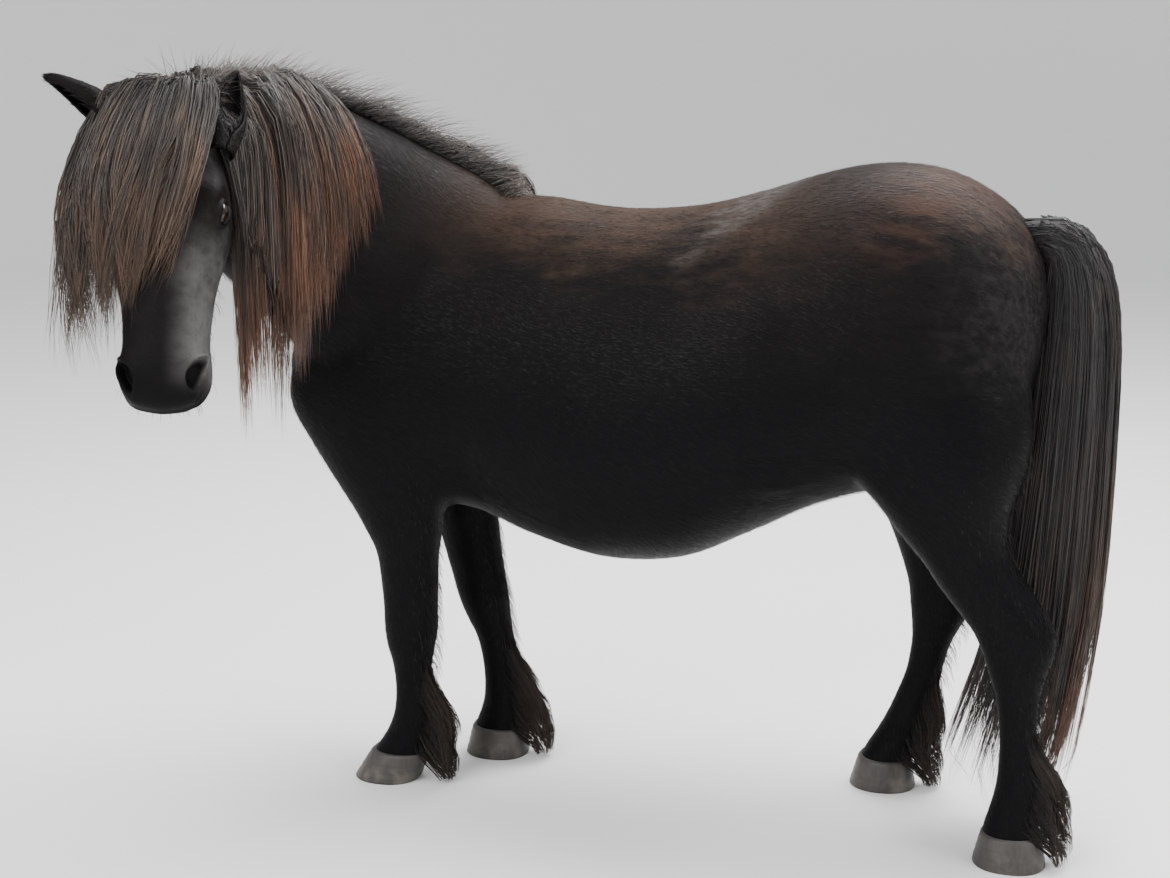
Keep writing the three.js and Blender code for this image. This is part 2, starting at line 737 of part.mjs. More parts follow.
// Tail: a dock of flesh and a full fall of hair. Rows down the fall: height, x of its
// inner edge, x of its outer edge, half width.
const DOCK = [
  [470, 0, 900, 36],
  [520, 0, 903, 34],
  [556, 0, 880, 30],
  [576, 0, 825, 25],
  [584, 0, 760, 20],
  [588, 0, 700, 12],
];
const FALL = [
  [912, 506, 566, 30],
  [850, 506, 610, 40],
  [760, 508, 624, 47],
  [640, 498, 628, 50],
  [520, 486, 628, 50],
  [400, 472, 626, 52],
  [300, 458, 620, 56],
  [200, 430, 612, 60],
  [110, 400, 602, 62],
  [40, 378, 588, 56],
];
const TAIL = { count: 11, width: 60, thickness: 26, steps: 7 };
function dock(grow = 0) {
  return loft((t, a, target) => {
    const step = 0.02;
    const slope = new THREE.Vector3(along(DOCK, 0, t + step) - along(DOCK, 0, t - step), 0,
      along(DOCK, 2, t + step) - along(DOCK, 2, t - step)).normalize();
    const radius = along(DOCK, 3, t) + grow;
    target.set(along(DOCK, 0, t), radius * Math.cos(a), along(DOCK, 2, t));
    target.x -= slope.z * radius * Math.sin(a);
    target.z += slope.x * radius * Math.sin(a);
  }, new THREE.Vector3(455, 0, 896), new THREE.Vector3(589, 0, 690), 12, 10);
}
function fallPoint(t, a, size, target = new THREE.Vector3()) {
  const inner = along(FALL, 1, t);
  const outer = along(FALL, 2, t);
  const x = (inner + outer) / 2 + (outer - inner) / 2 * size * Math.cos(a);
  return target.set(x, along(FALL, 3, t) * size * Math.sin(a), along(FALL, 0, t));
}
function tailLocks() {
  const random = seeded(5);
  const core = loft((t, a, target) => fallPoint(t * 0.9, a, 0.86, target),
    new THREE.Vector3(552, 0, 912), fallPoint(0.94, 0, 0), 12, 8);
  const locks = [core];
  for (let i = 0; i < TAIL.count; i += 1) {
    const a = 2 * Math.PI * (i + 0.5 * random()) / TAIL.count;
    const first = 0.02 + 0.12 * random();
    const last = 1 - 0.1 * random();
    const path = [];
    for (let k = 0; k <= TAIL.steps; k += 1) {
      const t = first + (last - first) * k / TAIL.steps;
      const size = k === 0 ? 0.5 : 0.95;
      const point = fallPoint(t, a, size);
      const next = fallPoint(Math.min(1, t + 0.02), a, size);
      const before = fallPoint(t - 0.02, a, size);
      const way = next.sub(before).normalize();
      const normal = new THREE.Vector3(Math.cos(a), Math.sin(a), 0);
      normal.addScaledVector(way, -normal.dot(way)).normalize();
      path.push({ point, normal, way });
    }
    locks.push(lock(path, TAIL.width, TAIL.thickness));
  }
  return together(locks);
}

// Feather on the back of each lower leg. Rows of its body down the leg: height, how
// far its middle stands behind the leg, reach fore and aft, half width.
const FEATHER_BODY = [
  [198, -12, 8, 8],
  [176, -4, 12, 14],
  [140, 6, 18, 20],
  [100, 13, 22, 26],
  [66, 20, 25, 29],
  [38, 27, 22, 27],
  [20, 30, 13, 18],
];
const FEATHER = { top: 190, low: 110, count: 2, length: 118, width: 46, thickness: 16, steps: 4, floor: 12 };
function downLeg(table, z) {
  const row = Math.max(1, table.findIndex((entry) => entry[0] < z));
  const above = table[row - 1][0];
  const t = (row - 1 + (above - z) / (above - table[row][0])) / (table.length - 1);
  return Math.min(1, t);
}
function feather(table, seed) {
  const random = seeded(seed);
  const at = (z) => downLeg(table, Math.max(z, 50));
  const body = loft((t, a, target) => {
    const z = along(FEATHER_BODY, 0, t);
    const x = along(table, 2, at(z)) + along(FEATHER_BODY, 1, t) + along(FEATHER_BODY, 2, t) * Math.cos(a);
    target.set(x, along(table, 3, at(z)) + along(FEATHER_BODY, 3, t) * Math.sin(a), z);
  }, new THREE.Vector3(along(table, 2, at(203)) - 16, along(table, 3, at(203)), 203),
  new THREE.Vector3(along(table, 2, 1) + 32, along(table, 3, 1), 12), 9, 5);
  const locks = [body];
  for (let i = 0; i < FEATHER.count * 2; i += 1) {
    const f = (i % FEATHER.count) / (FEATHER.count - 1);
    const sign = i < FEATHER.count ? -1 : 1;
    const top = FEATHER.top + (FEATHER.low - FEATHER.top) * f;
    const a = sign * (0.35 + 1.0 * random());
    const out = new THREE.Vector3(Math.cos(a), Math.sin(a), 0);
    const length = Math.min(FEATHER.length * (0.9 + 0.2 * random()), top - FEATHER.floor);
    const points = [];
    for (let k = 0; k <= FEATHER.steps; k += 1) {
      const z = top - length * k / FEATHER.steps;
      const t = Math.min(1, Math.max(0, (198 - z) / 178));
      const spread = k === 0 ? 0.4 : 1 + 0.05 * k;
      const point = new THREE.Vector3(
        along(table, 2, at(z)) + along(FEATHER_BODY, 1, t) + along(FEATHER_BODY, 2, t) * spread * out.x,
        along(table, 3, at(z)) + along(FEATHER_BODY, 3, t) * spread * out.y,
        z,
      );
      points.push(point);
    }
    locks.push(lock(asPath(points, out), FEATHER.width, FEATHER.thickness));
  }
  return together(locks);
}

// The whole body, parted by the cuts. Each piece is known by a point near its middle.
const MIDDLES = {
  torso: [-60, 0, 690],
  head: [-620, -460, 890],
  neck: [-560, -130, 920],
  foreleg_left: [-450, -90, 350],
  foreleg_right: [-420, 100, 350],
  hindleg_left: [440, -128, 400],
  hindleg_right: [350, 124, 400],
  lower_fore_left: [-455, -72, 125],
  lower_fore_right: [-344, 79, 125],
  lower_hind_left: [510, -128, 150],
  lower_hind_right: [328, 118, 150],
};
let body = flesh();
for (const [point, normal, width, height] of Object.values(CUTS)) {
  body = body.subtract(block(point, normal.normalize(), width, height, GAP, 0));
}
const pieces = {};
for (const piece of body.decompose()) {
  const box = piece.boundingBox();
  const middle = new THREE.Vector3(...box.min).add(new THREE.Vector3(...box.max)).multiplyScalar(0.5);
  let best = null;
  let bestDistance = Infinity;
  for (const [name, spot] of Object.entries(MIDDLES)) {
    const distance = middle.distanceTo(new THREE.Vector3(...spot));
    if (distance < bestDistance) {
      best = name;
      bestDistance = distance;
    }
  }
  pieces[best] = piece;
}

// What the hair of a piece must keep clear of: the other flesh, a gap larger.
const grown = flesh(GAP);
const FAR = 4000;
const behindNeckCut = block(CUTS.neck[0], CUTS.neck[1], FAR, FAR, FAR, -FAR / 2 + GAP / 2);
const beforeHeadCut = block(CUTS.head[0], CUTS.head[1], FAR, FAR, FAR, FAR / 2 - GAP / 2);
const behindHeadCut = block(CUTS.head[0], CUTS.head[1], FAR, FAR, FAR, -FAR / 2 + GAP / 2);

const earsGrown = ear(EARS.left, GAP).add(ear(EARS.right, GAP));
const fore = foreLocks().subtract(earsGrown).subtract(grown.intersect(behindHeadCut));
const mane = maneLocks().subtract(earsGrown).subtract(foreLocks(GAP))
  .subtract(grown.intersect(behindNeckCut)).subtract(grown.intersect(beforeHeadCut));

// Almond opening between the lids, half sizes outwards, along and across.
const OPENING = [13, 17, 10.5];

// Nostril: its middle, to the left side, then half sizes of the flared rim and of the
// hollow in it, outwards, along and across.
const NOSTRIL = [362, 12, 40];
const NOSTRIL_RIM = [22, 26, 16];
const NOSTRIL_HOLLOW = [18, 17, 8.5];

// Line between the lips: level in the head, where its corners are, width and depth.
const LIPS = { level: -30, from: 322, width: 3, depth: 9, reach: 120, halfWidth: 80 };

// Slab of the mouth, level in the head frame, between a rear and a front distance.
function mouthSlab(rear, tip, halfWidth, thickness, power) {
  const corner = (t, a, target) => {
    const forwards = Math.sign(Math.cos(a)) * Math.abs(Math.cos(a)) ** power;
    const s = (rear + tip) / 2 + (tip - rear) / 2 * forwards;
    headPoint(s, LIPS.level + thickness * (t - 0.5), halfWidth * Math.sin(a), target);
  };
  const middle = (rear + tip) / 2;
  const start = headPoint(middle, LIPS.level - thickness / 2, 0);
  return loft(corner, start, headPoint(middle, LIPS.level + thickness / 2, 0), 16, 1);
}

// Head with its lids, nostrils and the line of the mouth.
let skull = pieces.head;
for (const [side, sign] of [['left', 1], ['right', -1]]) {
  const axes = eyeAxes(sign);
  skull = skull.add(eyeball(side, sign, LID, 12, 8)).subtract(eyeball(side, sign, GAP, 14, 9));
  const opening = EYES[side].clone().addScaledVector(axes[0], EYE_RADIUS + 3);
  skull = skull.subtract(egg(opening, OPENING, axes, 12, 6));
  const nostril = headPoint(NOSTRIL[0], NOSTRIL[1], sign * NOSTRIL[2]);
  const flare = left.clone().multiplyScalar(sign * 0.75).addScaledVector(front, 0.66).normalize();
  const long = down.clone().addScaledVector(left, sign * -0.25);
  long.addScaledVector(flare, -long.dot(flare)).normalize();
  const wide = new THREE.Vector3().crossVectors(flare, long);
  const hollow = nostril.clone().addScaledVector(flare, 20);
  skull = skull.add(egg(nostril, NOSTRIL_RIM, [flare, long, wide], 12, 6));
  skull = skull.subtract(egg(hollow, NOSTRIL_HOLLOW, [flare, long, wide], 10, 6));
}
const lips = mouthSlab(LIPS.from, LIPS.from + LIPS.reach, LIPS.halfWidth, LIPS.width, 1);
const teeth = mouthSlab(LIPS.from - 30, HEAD_TIP - LIPS.depth, 46, 20, 0.8);
skull = skull.subtract(lips.subtract(teeth));

// Lower legs with their feather, the tail, ears, eyes and hooves.
const LOWER_LEGS = [
  ['fore_left', FORE_LEFT, 3],
  ['fore_right', FORE_RIGHT, 4],
  ['hind_left', HIND_LEFT, 6],
  ['hind_right', HIND_RIGHT, 8],
];
const MODEL = {
  torso: [pieces.torso, FINISHES.coat],
  neck: [pieces.neck.add(mane), FINISHES.hair],
  head: [skull.add(fore), FINISHES.coat],
  foreleg_left: [pieces.foreleg_left, FINISHES.coat],
  foreleg_right: [pieces.foreleg_right, FINISHES.coat],
  hindleg_left: [pieces.hindleg_left, FINISHES.coat],
  hindleg_right: [pieces.hindleg_right, FINISHES.coat],
};
for (const [side, table, seed] of LOWER_LEGS) {
  const shank = pieces[`lower_${side}`].add(feather(table, seed));
  MODEL[`lower_${side}`] = [shank.subtract(hoof(HOOFS[side], GAP)), FINISHES.coat];
}
MODEL.tail = [dock().add(tailLocks()).subtract(grown), FINISHES.hair];
for (const [side, sign] of [['left', 1], ['right', -1]]) {
  MODEL[`ear_${side}`] = [ear(EARS[side]).subtract(grown), FINISHES.coat];
  MODEL[`eye_${side}`] = [eyeball(side, sign, 0, 14, 9), FINISHES.eye];
}
for (const [name, rows] of Object.entries(HOOFS)) {
  MODEL[`hoof_${name}`] = [hoof(rows), FINISHES.horn];
}
for (const [name, [solid, finish]] of Object.entries(MODEL)) {
  addMesh(name, largest(solid).simplify(TIDY), finish);
}

export default group;
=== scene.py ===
from math import pi, radians

import bmesh
import bpy
import numpy as np
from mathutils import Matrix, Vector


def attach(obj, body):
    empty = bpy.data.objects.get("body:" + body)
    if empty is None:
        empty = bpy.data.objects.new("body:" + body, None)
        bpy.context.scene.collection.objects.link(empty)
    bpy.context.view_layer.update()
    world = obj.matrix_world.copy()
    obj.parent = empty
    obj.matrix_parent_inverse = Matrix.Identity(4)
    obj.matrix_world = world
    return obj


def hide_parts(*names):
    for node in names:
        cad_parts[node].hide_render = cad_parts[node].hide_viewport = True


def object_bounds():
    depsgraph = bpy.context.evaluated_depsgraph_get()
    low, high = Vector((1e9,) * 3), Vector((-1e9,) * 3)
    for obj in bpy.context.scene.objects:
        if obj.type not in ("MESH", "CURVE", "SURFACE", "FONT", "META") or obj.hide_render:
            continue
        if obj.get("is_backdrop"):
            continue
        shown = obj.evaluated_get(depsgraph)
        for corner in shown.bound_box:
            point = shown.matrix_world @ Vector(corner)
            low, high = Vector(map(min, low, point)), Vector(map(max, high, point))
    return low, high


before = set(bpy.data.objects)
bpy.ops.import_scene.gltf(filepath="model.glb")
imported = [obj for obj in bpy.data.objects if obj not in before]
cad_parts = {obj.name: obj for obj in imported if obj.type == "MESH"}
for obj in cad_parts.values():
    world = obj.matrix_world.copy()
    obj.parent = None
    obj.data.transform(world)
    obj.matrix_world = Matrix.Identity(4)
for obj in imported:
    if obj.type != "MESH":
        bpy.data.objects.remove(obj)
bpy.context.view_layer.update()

# Viewpoint: the pony is seen from its near side, from a little above its head and a few
# paces away, through a short telephoto lens that is tilted slightly down.
LENS, FRAME_WIDTH = 58, 36
TILT_DOWN, TURN_LEFT = 12.474, 16
CAMERA_PLACE = (0.709, -2.589, 1.2)
camera = bpy.data.objects.new("viewpoint", bpy.data.cameras.new("viewpoint"))
camera.data.lens = LENS
camera.data.sensor_width = FRAME_WIDTH
camera.location = CAMERA_PLACE
camera.rotation_euler = (radians(90 - TILT_DOWN), 0, radians(TURN_LEFT))
bpy.context.scene.collection.objects.link(camera)
bpy.context.scene.camera = camera

# Stand: a round, plain, pale studio floor that sweeps up into a wall all round, and the
# lamps of a museum's photo studio: a broad soft box over the back, one in front and one
# at the side.
FLOOR_RADIUS = 7.0
SWEEP_RADIUS = 3.0
WALL_HEIGHT = 5.0
FLOOR_CORNERS = 128


def paint(name, colour, roughness):
    """A material with its Principled shader: name, base colour, roughness."""
    material = bpy.data.materials.new(name)
    material.use_nodes = True
    shader = material.node_tree.nodes["Principled BSDF"]
    shader.inputs["Base Color"].default_value = (*colour, 1)
    shader.inputs["Roughness"].default_value = roughness
    return material, material.node_tree, shader


def mesh_object(name, points, faces, material):
    """Object at the origin from points in metres and faces, lists of corner rows."""
    mesh = bpy.data.meshes.new(name)
    mesh.from_pydata(np.asarray(points).tolist(), [], [list(f) for f in faces])
    mesh.validate()
    mesh.shade_smooth()
    piece = bpy.data.objects.new(name, mesh)
    bpy.context.scene.collection.objects.link(piece)
    mesh.materials.append(material)
    return piece


def grid_faces(rows, columns, closed=False):
    """Quads of a grid of rows x columns points, each row joined up if closed."""
    r, c = np.meshgrid(np.arange(rows - 1), np.arange(columns - (not closed)), indexing="ij")
    n = (c + 1) % columns
    quads = [r * columns + c, r * columns + n, (r + 1) * columns + n, (r + 1) * columns + c]
    return np.stack(quads, -1).reshape(-1, 4)


floor_paint, _, _ = paint("pale_floor", (0.86, 0.855, 0.84), 0.9)
turn = np.linspace(0, pi / 2, 17)
profile = np.concatenate([
    [[0.01, 0]],
    np.stack([FLOOR_RADIUS + SWEEP_RADIUS * np.sin(turn), SWEEP_RADIUS * (1 - np.cos(turn))], 1),
    [[FLOOR_RADIUS + SWEEP_RADIUS, WALL_HEIGHT]],
])
turn = np.arange(FLOOR_CORNERS) * 2 * pi / FLOOR_CORNERS
sheet = np.stack([
    profile[:, :1] * np.cos(turn),
    profile[:, :1] * np.sin(turn),
    np.repeat(profile[:, 1:], FLOOR_CORNERS, 1),
], -1)
rings = grid_faces(len(profile), FLOOR_CORNERS, closed=True)[:, ::-1].tolist()
middle_disc = [np.arange(FLOOR_CORNERS).tolist()]
floor = mesh_object("floor", sheet.reshape(-1, 3), rings + middle_disc, floor_paint)
floor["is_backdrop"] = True

for name, place, aim, size, power in [
    # places and sizes in metres, power in watts
    ("top_lamp", (0.7, 1.1, 3.6), (0, 0, 0.8), 3.0, 330),
    ("front_lamp", (-1.8, -3.6, 3.0), (-0.1, 0, 0.6), 3.2, 190),
    ("side_lamp", (3.6, -1.6, 2.2), (0.1, 0, 0.6), 2.4, 80),
]:
    lamp = bpy.data.lights.new(name, "AREA")
    lamp.energy = power
    lamp.size = size
    holder = bpy.data.objects.new(name, lamp)
    holder.location = place
    ray = np.subtract(aim, place)
    tilt = np.arctan2(np.hypot(ray[0], ray[1]), -ray[2])
    holder.rotation_euler = (tilt, 0, np.arctan2(ray[0], -ray[1]) + pi)
    bpy.context.scene.collection.objects.link(holder)
world = bpy.data.worlds.new("studio")
world.use_nodes = True
world.node_tree.nodes["Background"].inputs["Color"].default_value = (0.93, 0.96, 1.0, 1)
world.node_tree.nodes["Background"].inputs["Strength"].default_value = 0.8
bpy.context.scene.world = world

# Body: the modelled hide over trunk, neck, head and legs. It is one closed skin: each
# part is lofted from level or upright sections, in millimetres of the pony's own
# frame, the lofts are run together and their joins rubbed smooth.
MIDDLE = np.array([-91.0, -171.0, 0.0])
TRUNK = [
    # place along, back, belly, level of the widest line, half width, power above, below
    [-646, 708, 636, 672, 42, 2.0, 2.0],
    [-629, 748, 592, 668, 90, 2.0, 2.0],
    [-594, 790, 538, 660, 128, 2.0, 2.0],
    [-544, 834, 492, 652, 152, 2.0, 2.1],
    [-480, 880, 460, 650, 166, 2.0, 2.1],
    [-410, 916, 450, 645, 174, 1.9, 2.1],
    [-330, 938, 446, 635, 180, 1.8, 2.1],
    [-240, 948, 413, 615, 196, 1.8, 2.1],
    [-120, 931, 386, 604, 222, 1.9, 2.1],
    [0, 937, 397, 612, 238, 2.0, 2.1],
    [100, 960, 444, 640, 240, 2.1, 2.1],
    [200, 991, 495, 676, 230, 2.2, 2.1],
    [280, 1005, 520, 700, 218, 2.3, 2.0],
    [360, 999, 556, 708, 212, 2.3, 2.0],
    [430, 969, 606, 712, 196, 2.2, 2.1],
    [480, 928, 650, 730, 160, 2.1, 2.1],
    [510, 884, 700, 775, 106, 2.0, 2.0],
]
NECK = [
    # middle of the section, reach to the crest, reach to the throat, half width
    [-300, 0, 735, 196, 170, 100],
    [-400, -8, 772, 206, 185, 120],
    [-480, -42, 824, 202, 188, 118],
    [-548, -106, 892, 186, 168, 102],
    [-602, -190, 953, 164, 150, 88],
    [-636, -275, 998, 126, 132, 79],
    [-652, -345, 1020, 90, 114, 72],
    [-660, -388, 1032, 54, 80, 58],
]
HOOF_HEIGHT = 44
# Legs, a row for each level section: height, front, rear, middle across, half width.
FORE_LEFT = [
    [800, -420, -300, -70, 46], [740, -530, -300, -92, 62], [690, -604, -306, -102, 69],
    [645, -616, -316, -105, 72], [590, -601, -334, -103, 70], [535, -573, -352, -99, 66],
    [490, -544, -364, -96, 60], [457, -523, -374, -93, 54], [420, -503, -380, -91, 48],
    [387, -489, -386, -89, 42], [345, -484, -389, -87, 38], [300, -481, -391, -85, 36],
    [262, -481, -392, -83, 37], [232, -478, -398, -81, 35], [200, -471, -404, -79, 28],
    [165, -468, -408, -77, 25], [136, -469, -406, -75, 27], [110, -474, -400, -73, 31],
    [85, -484, -404, -71, 31], [62, -498, -413, -70, 35], [30, -520, -420, -69, 40],
]
FORE_RIGHT = [
    [800, -420, -300, 70, 46], [740, -528, -300, 92, 62], [690, -600, -304, 102, 69],
    [645, -610, -310, 105, 72], [590, -590, -320, 103, 70], [535, -556, -332, 99, 66],
    [490, -528, -342, 96, 60], [457, -498, -348, 94, 54], [420, -470, -350, 92, 48],
    [387, -452, -347, 91, 42], [345, -440, -342, 89, 38], [308, -429, -336, 88, 36],
    [270, -417, -330, 86, 37], [238, -404, -326, 85, 34], [202, -386, -321, 84, 28],
    [165, -376, -316, 82, 25], [136, -372, -310, 81, 27], [108, -371, -302, 80, 31],
    [84, -375, -300, 80, 31], [62, -382, -300, 79, 35], [30, -396, -298, 79, 40],
]
HIND_LEFT = [
    [880, 330, 410, -60, 46], [820, 290, 452, -82, 66], [750, 262, 490, -102, 86],
    [680, 250, 512, -113, 97], [620, 248, 514, -119, 97], [570, 263, 504, -122, 90],
    [525, 300, 490, -124, 78], [486, 331, 486, -124, 66], [451, 363, 498, -125, 58],
    [415, 388, 520, -125, 51], [379, 417, 545, -126, 45], [350, 439, 559, -126, 41],
    [320, 454, 558, -127, 38], [288, 465, 549, -127, 33], [250, 477, 541, -127, 28],
    [200, 484, 540, -128, 25], [160, 485, 544, -128, 27], [122, 483, 553, -128, 31],
    [92, 477, 552, -128, 31], [64, 470, 546, -128, 36], [30, 462, 555, -128, 41],
]
HIND_RIGHT = [
    [880, 310, 400, 60, 46], [820, 266, 444, 82, 66], [750, 236, 476, 102, 86],
    [680, 220, 491, 113, 97], [620, 212, 486, 118, 97], [570, 217, 464, 120, 90],
    [525, 240, 440, 120, 78], [486, 262, 420, 120, 66], [446, 284, 412, 119, 57],
    [408, 300, 422, 119, 49], [374, 312, 436, 118, 44], [341, 321, 438, 118, 40],
    [308, 325, 428, 118, 36], [278, 328, 410, 118, 31], [245, 329, 394, 118, 27],
    [200, 323, 382, 118, 25], [160, 310, 368, 118, 27], [122, 295, 360, 118, 31],
    [92, 280, 350, 118, 31], [64, 264, 340, 118, 36], [30, 248, 336, 118, 41],
]
LEGS = {
    "fore_left": FORE_LEFT, "fore_right": FORE_RIGHT,
    "hind_left": HIND_LEFT, "hind_right": HIND_RIGHT,
}
HEAD = [
    # place down the face, face, jaw, level of the widest line, half width, two powers
    [0, 26, -46, 0, 50, 2.0, 2.0],
    [30, 42, -76, 0, 66, 2.2, 2.0],
    [70, 52, -106, 6, 77, 2.3, 2.0],
    [110, 58, -124, 12, 86, 2.4, 2.0],
    [150, 56, -128, 8, 86, 2.4, 2.0],
    [190, 47, -119, -6, 78, 2.4, 2.0],
    [230, 39, -98, -15, 70, 2.5, 2.1],
    [270, 34, -78, -15, 63, 2.6, 2.2],
    [310, 32, -65, -12, 60, 2.6, 2.2],
    [345, 32, -60, -10, 62, 2.4, 2.2],
    [378, 27, -58, -12, 61, 2.3, 2.2],
    [403, 13, -49, -14, 48, 2.1, 2.0],
]
# The lofts lie a skin's depth inside their sections; the skin's cells are in metres.
SKIN_DEPTH = 3.0
SKIN_CELL = 0.0056


def unit(v):
    """Vectors scaled to length one."""
    return v / np.maximum(np.linalg.norm(v, axis=-1, keepdims=True), 1e-9)


def along(table, column, t):
    """Smooth curve through one column of a table, t from 0 to 1: between two rows a
    cubic whose slopes are half the difference of the rows on either side."""
    rows = np.asarray(table, float)[:, column]
    rows = np.concatenate([[2 * rows[0] - rows[1]], rows, [2 * rows[-1] - rows[-2]]])
    place = np.clip(t, 0, 1) * (len(rows) - 3)
    i = np.minimum(np.floor(place).astype(int), len(rows) - 4)
    f = place - i
    p0, p1, p2, p3 = (rows[i + k] for k in range(4))
    a, b, d = (p2 - p0) / 2, (p3 - p1) / 2, p2 - p1
    return p1 + f * (a + f * (3 * d - 2 * a - b + f * (a + b - 2 * d)))


def place_of(table, value):
    """Place from 0 to 1 in a table where its first column has a value."""
    rows = np.asarray(table, float)[:, 0]
    order = np.argsort(rows)
    return np.interp(value, rows[order], (np.arange(len(rows)) / (len(rows) - 1))[order])


def rounded(value, power):
    """Cosine or sine of a section that is an ellipse for power 2 and squarer above."""
    return np.sign(value) * np.abs(value) ** (2 / power)


def section_of(table, t, a, grow):
    """Section of trunk or head: the place along it, the half width times the rounded
    cosine, and the reach to the upper or lower line times the rounded sine."""
    s = np.sin(a)
    level = along(table, 3, t)
    reach = np.where(s > 0, along(table, 1, t) - level, level - along(table, 2, t)) + grow
    power = np.where(s > 0, along(table, 5, t), along(table, 6, t))
    half = (along(table, 4, t) + grow) * rounded(np.cos(a), power)
    return along(table, 0, t) + 0 * a, half, level + reach * rounded(s, power)


def trunk_point(t, a, grow=0.0):
    """Upright section at t along the back."""
    return np.stack(section_of(TRUNK, t, a, grow), -1)


def neck_frame(t):
    """Centre, forward, left and crestward directions of the neck at t."""
    def curve(place):
        """Middle line of the neck."""
        return np.stack([along(NECK, k, place) for k in range(3)], -1)
    ahead = unit(curve(t + 0.01) - curve(t - 0.01))
    side = unit(np.cross([0.0, 0.0, 1.0], ahead))
    return curve(t), ahead, side, np.cross(ahead, side)


def neck_point(t, a, grow=0.0):
    """Elliptic section square to the neck: half width sideways, reach up or down."""
    centre, _, side, up = neck_frame(t)
    s = np.sin(a)
    reach = np.where(s > 0, along(NECK, 3, t), along(NECK, 4, t)) + grow
    half = along(NECK, 5, t) + grow
    return centre + side * (half * np.cos(a))[..., None] + up * (reach * s)[..., None]


def leg_point(table, t, a, grow=0.0):
    """Level section of a leg: a rounded box between its front and rear lines."""
    front, rear = along(table, 1, t) - grow, along(table, 2, t) + grow
    x = (front + rear) / 2 + (rear - front) / 2 * rounded(np.cos(a), 2.2)
    y = along(table, 3, t) + (along(table, 4, t) + grow) * rounded(np.sin(a), 2.2)
    return np.stack([x, y, along(table, 0, t) + 0 * a], -1)


# Head: the poll, and the directions of the nose on the level, of the head's left, down
# the face and out of the forehead.
POLL = np.array([-659.0, -384.0, 1066.0])
NOSE = np.array([np.cos(radians(-74)), np.sin(radians(-74)), 0])
LEFT = np.cross([0, 0, 1], NOSE)
DOWN = unit(NOSE * np.cos(radians(63)) - np.array([0, 0, np.sin(radians(63))]) + LEFT * 0.03)
FRONT = unit(np.cross(DOWN, LEFT))
LEFT = np.cross(FRONT, DOWN)


def head_point(s, f, l):
    """Point s down the face from the poll, f forwards and l to the pony's left."""
    s, f, l = (np.asarray(v, float)[..., None] for v in np.broadcast_arrays(s, f, l))
    return POLL + DOWN * s + FRONT * f + LEFT * l


def head_section(t, a, grow=0.0):
    """Section at t down the head, square to the face."""
    down, left, forwards = section_of(HEAD, t, a, grow)
    return head_point(down, forwards, left)


def closed_shell(rings, start, end):
    """Points and faces of a closed shell: a grid of rings between two poles."""
    rows, around = rings.shape[:2]
    i = np.arange(around)
    n = (i + 1) % around
    base = (rows - 1) * around
    faces = grid_faces(rows, around, closed=True).tolist()
    faces += np.stack([n, i, np.full(around, rows * around)], 1).tolist()
    faces += np.stack([base + i, base + n, np.full(around, rows * around + 1)], 1).tolist()
    return np.concatenate([rings.reshape(-1, 3), [start, end]]), faces


def all_round(places, count):
    """Grid of places along a shell with count equal angles round it at each."""
    return np.meshgrid(places, np.arange(count) * 2 * pi / count, indexing="ij")


def closed_loft(section, start, end, around, rows):
    """Closed shell whose rings are a section function of t along it and a round it."""
    return closed_shell(section(*all_round(np.linspace(0, 1, rows), around)), start, end)


def run_together(lofts):
    """One list of points and faces from several lofts."""
    points, faces, count = [], [], 0
    for more_points, more_faces in lofts:
        points.append(more_points)
        faces += [[corner + count for corner in face] for face in more_faces]
        count += len(more_points)
    return np.concatenate(points), faces


def outwards(piece):
    """Turns every face of a closed mesh outwards."""
    shell = bmesh.new()
    shell.from_mesh(piece.data)
    bmesh.ops.remove_doubles(shell, verts=shell.verts, dist=1e-6)
    bmesh.ops.recalc_face_normals(shell, faces=shell.faces)
    shell.to_mesh(piece.data)
    shell.free()


def metres(points):
    """Row frame, in metres, of points in the pony's own frame."""
    return (points - MIDDLE) / 1000


inset = -SKIN_DEPTH
parts = [
    closed_loft(lambda t, a: trunk_point(t, a, inset), [-650, 0, 672], [523, 0, 800], 72, 90),
    closed_loft(lambda t, a: neck_point(t, a, inset), [-280, 0, 735], [-664, -410, 1038], 60, 60),
    closed_loft(lambda t, a: head_section(t, a, inset * (1 - t ** 2)),
                head_point(-13, -10, 0), head_point(415, -16, 0), 60, 80),
]
for table in LEGS.values():
    top = [(table[0][1] + table[0][2]) / 2, table[0][3], table[0][0] + 26]
    foot = [(table[-1][1] + table[-1][2]) / 2, table[-1][3], table[-1][0] - 4]
    parts.append(closed_loft(lambda t, a: leg_point(table, t, a, inset / 2), top, foot, 36, 90))
hide, hide_tree, hide_shader = paint("black_coat", (0.012, 0.010, 0.009), 0.6)
points, faces = run_together(parts)
body = mesh_object("hide", metres(points), faces, hide)
outwards(body)
remesh = body.modifiers.new("run_together", "REMESH")
remesh.mode = "VOXEL"
remesh.voxel_size = SKIN_CELL
remesh.use_smooth_shade = True
joined = bpy.data.meshes.new_from_object(body.evaluated_get(bpy.context.evaluated_depsgraph_get()))
body.modifiers.clear()
body.data = joined


def read(items, key, width, kind=float):
    """One property of all items of a mesh, a row for each item."""
    flat = np.empty(len(items) * width, kind)
    items.foreach_get(key, flat)
    return flat.reshape(-1, width)


def read_points(mesh):
    """Points of a mesh in the pony's frame, in millimetres."""
    return read(mesh.vertices, "co", 3) * 1000 + MIDDLE


def write_points(mesh, points):
    """Puts points of the pony's frame back into a mesh."""
    mesh.vertices.foreach_set("co", metres(points).ravel())
    mesh.update()


def read_normals(mesh):
    """Outward directions at the points of a mesh."""
    return read(mesh.vertex_normals, "vector", 3)


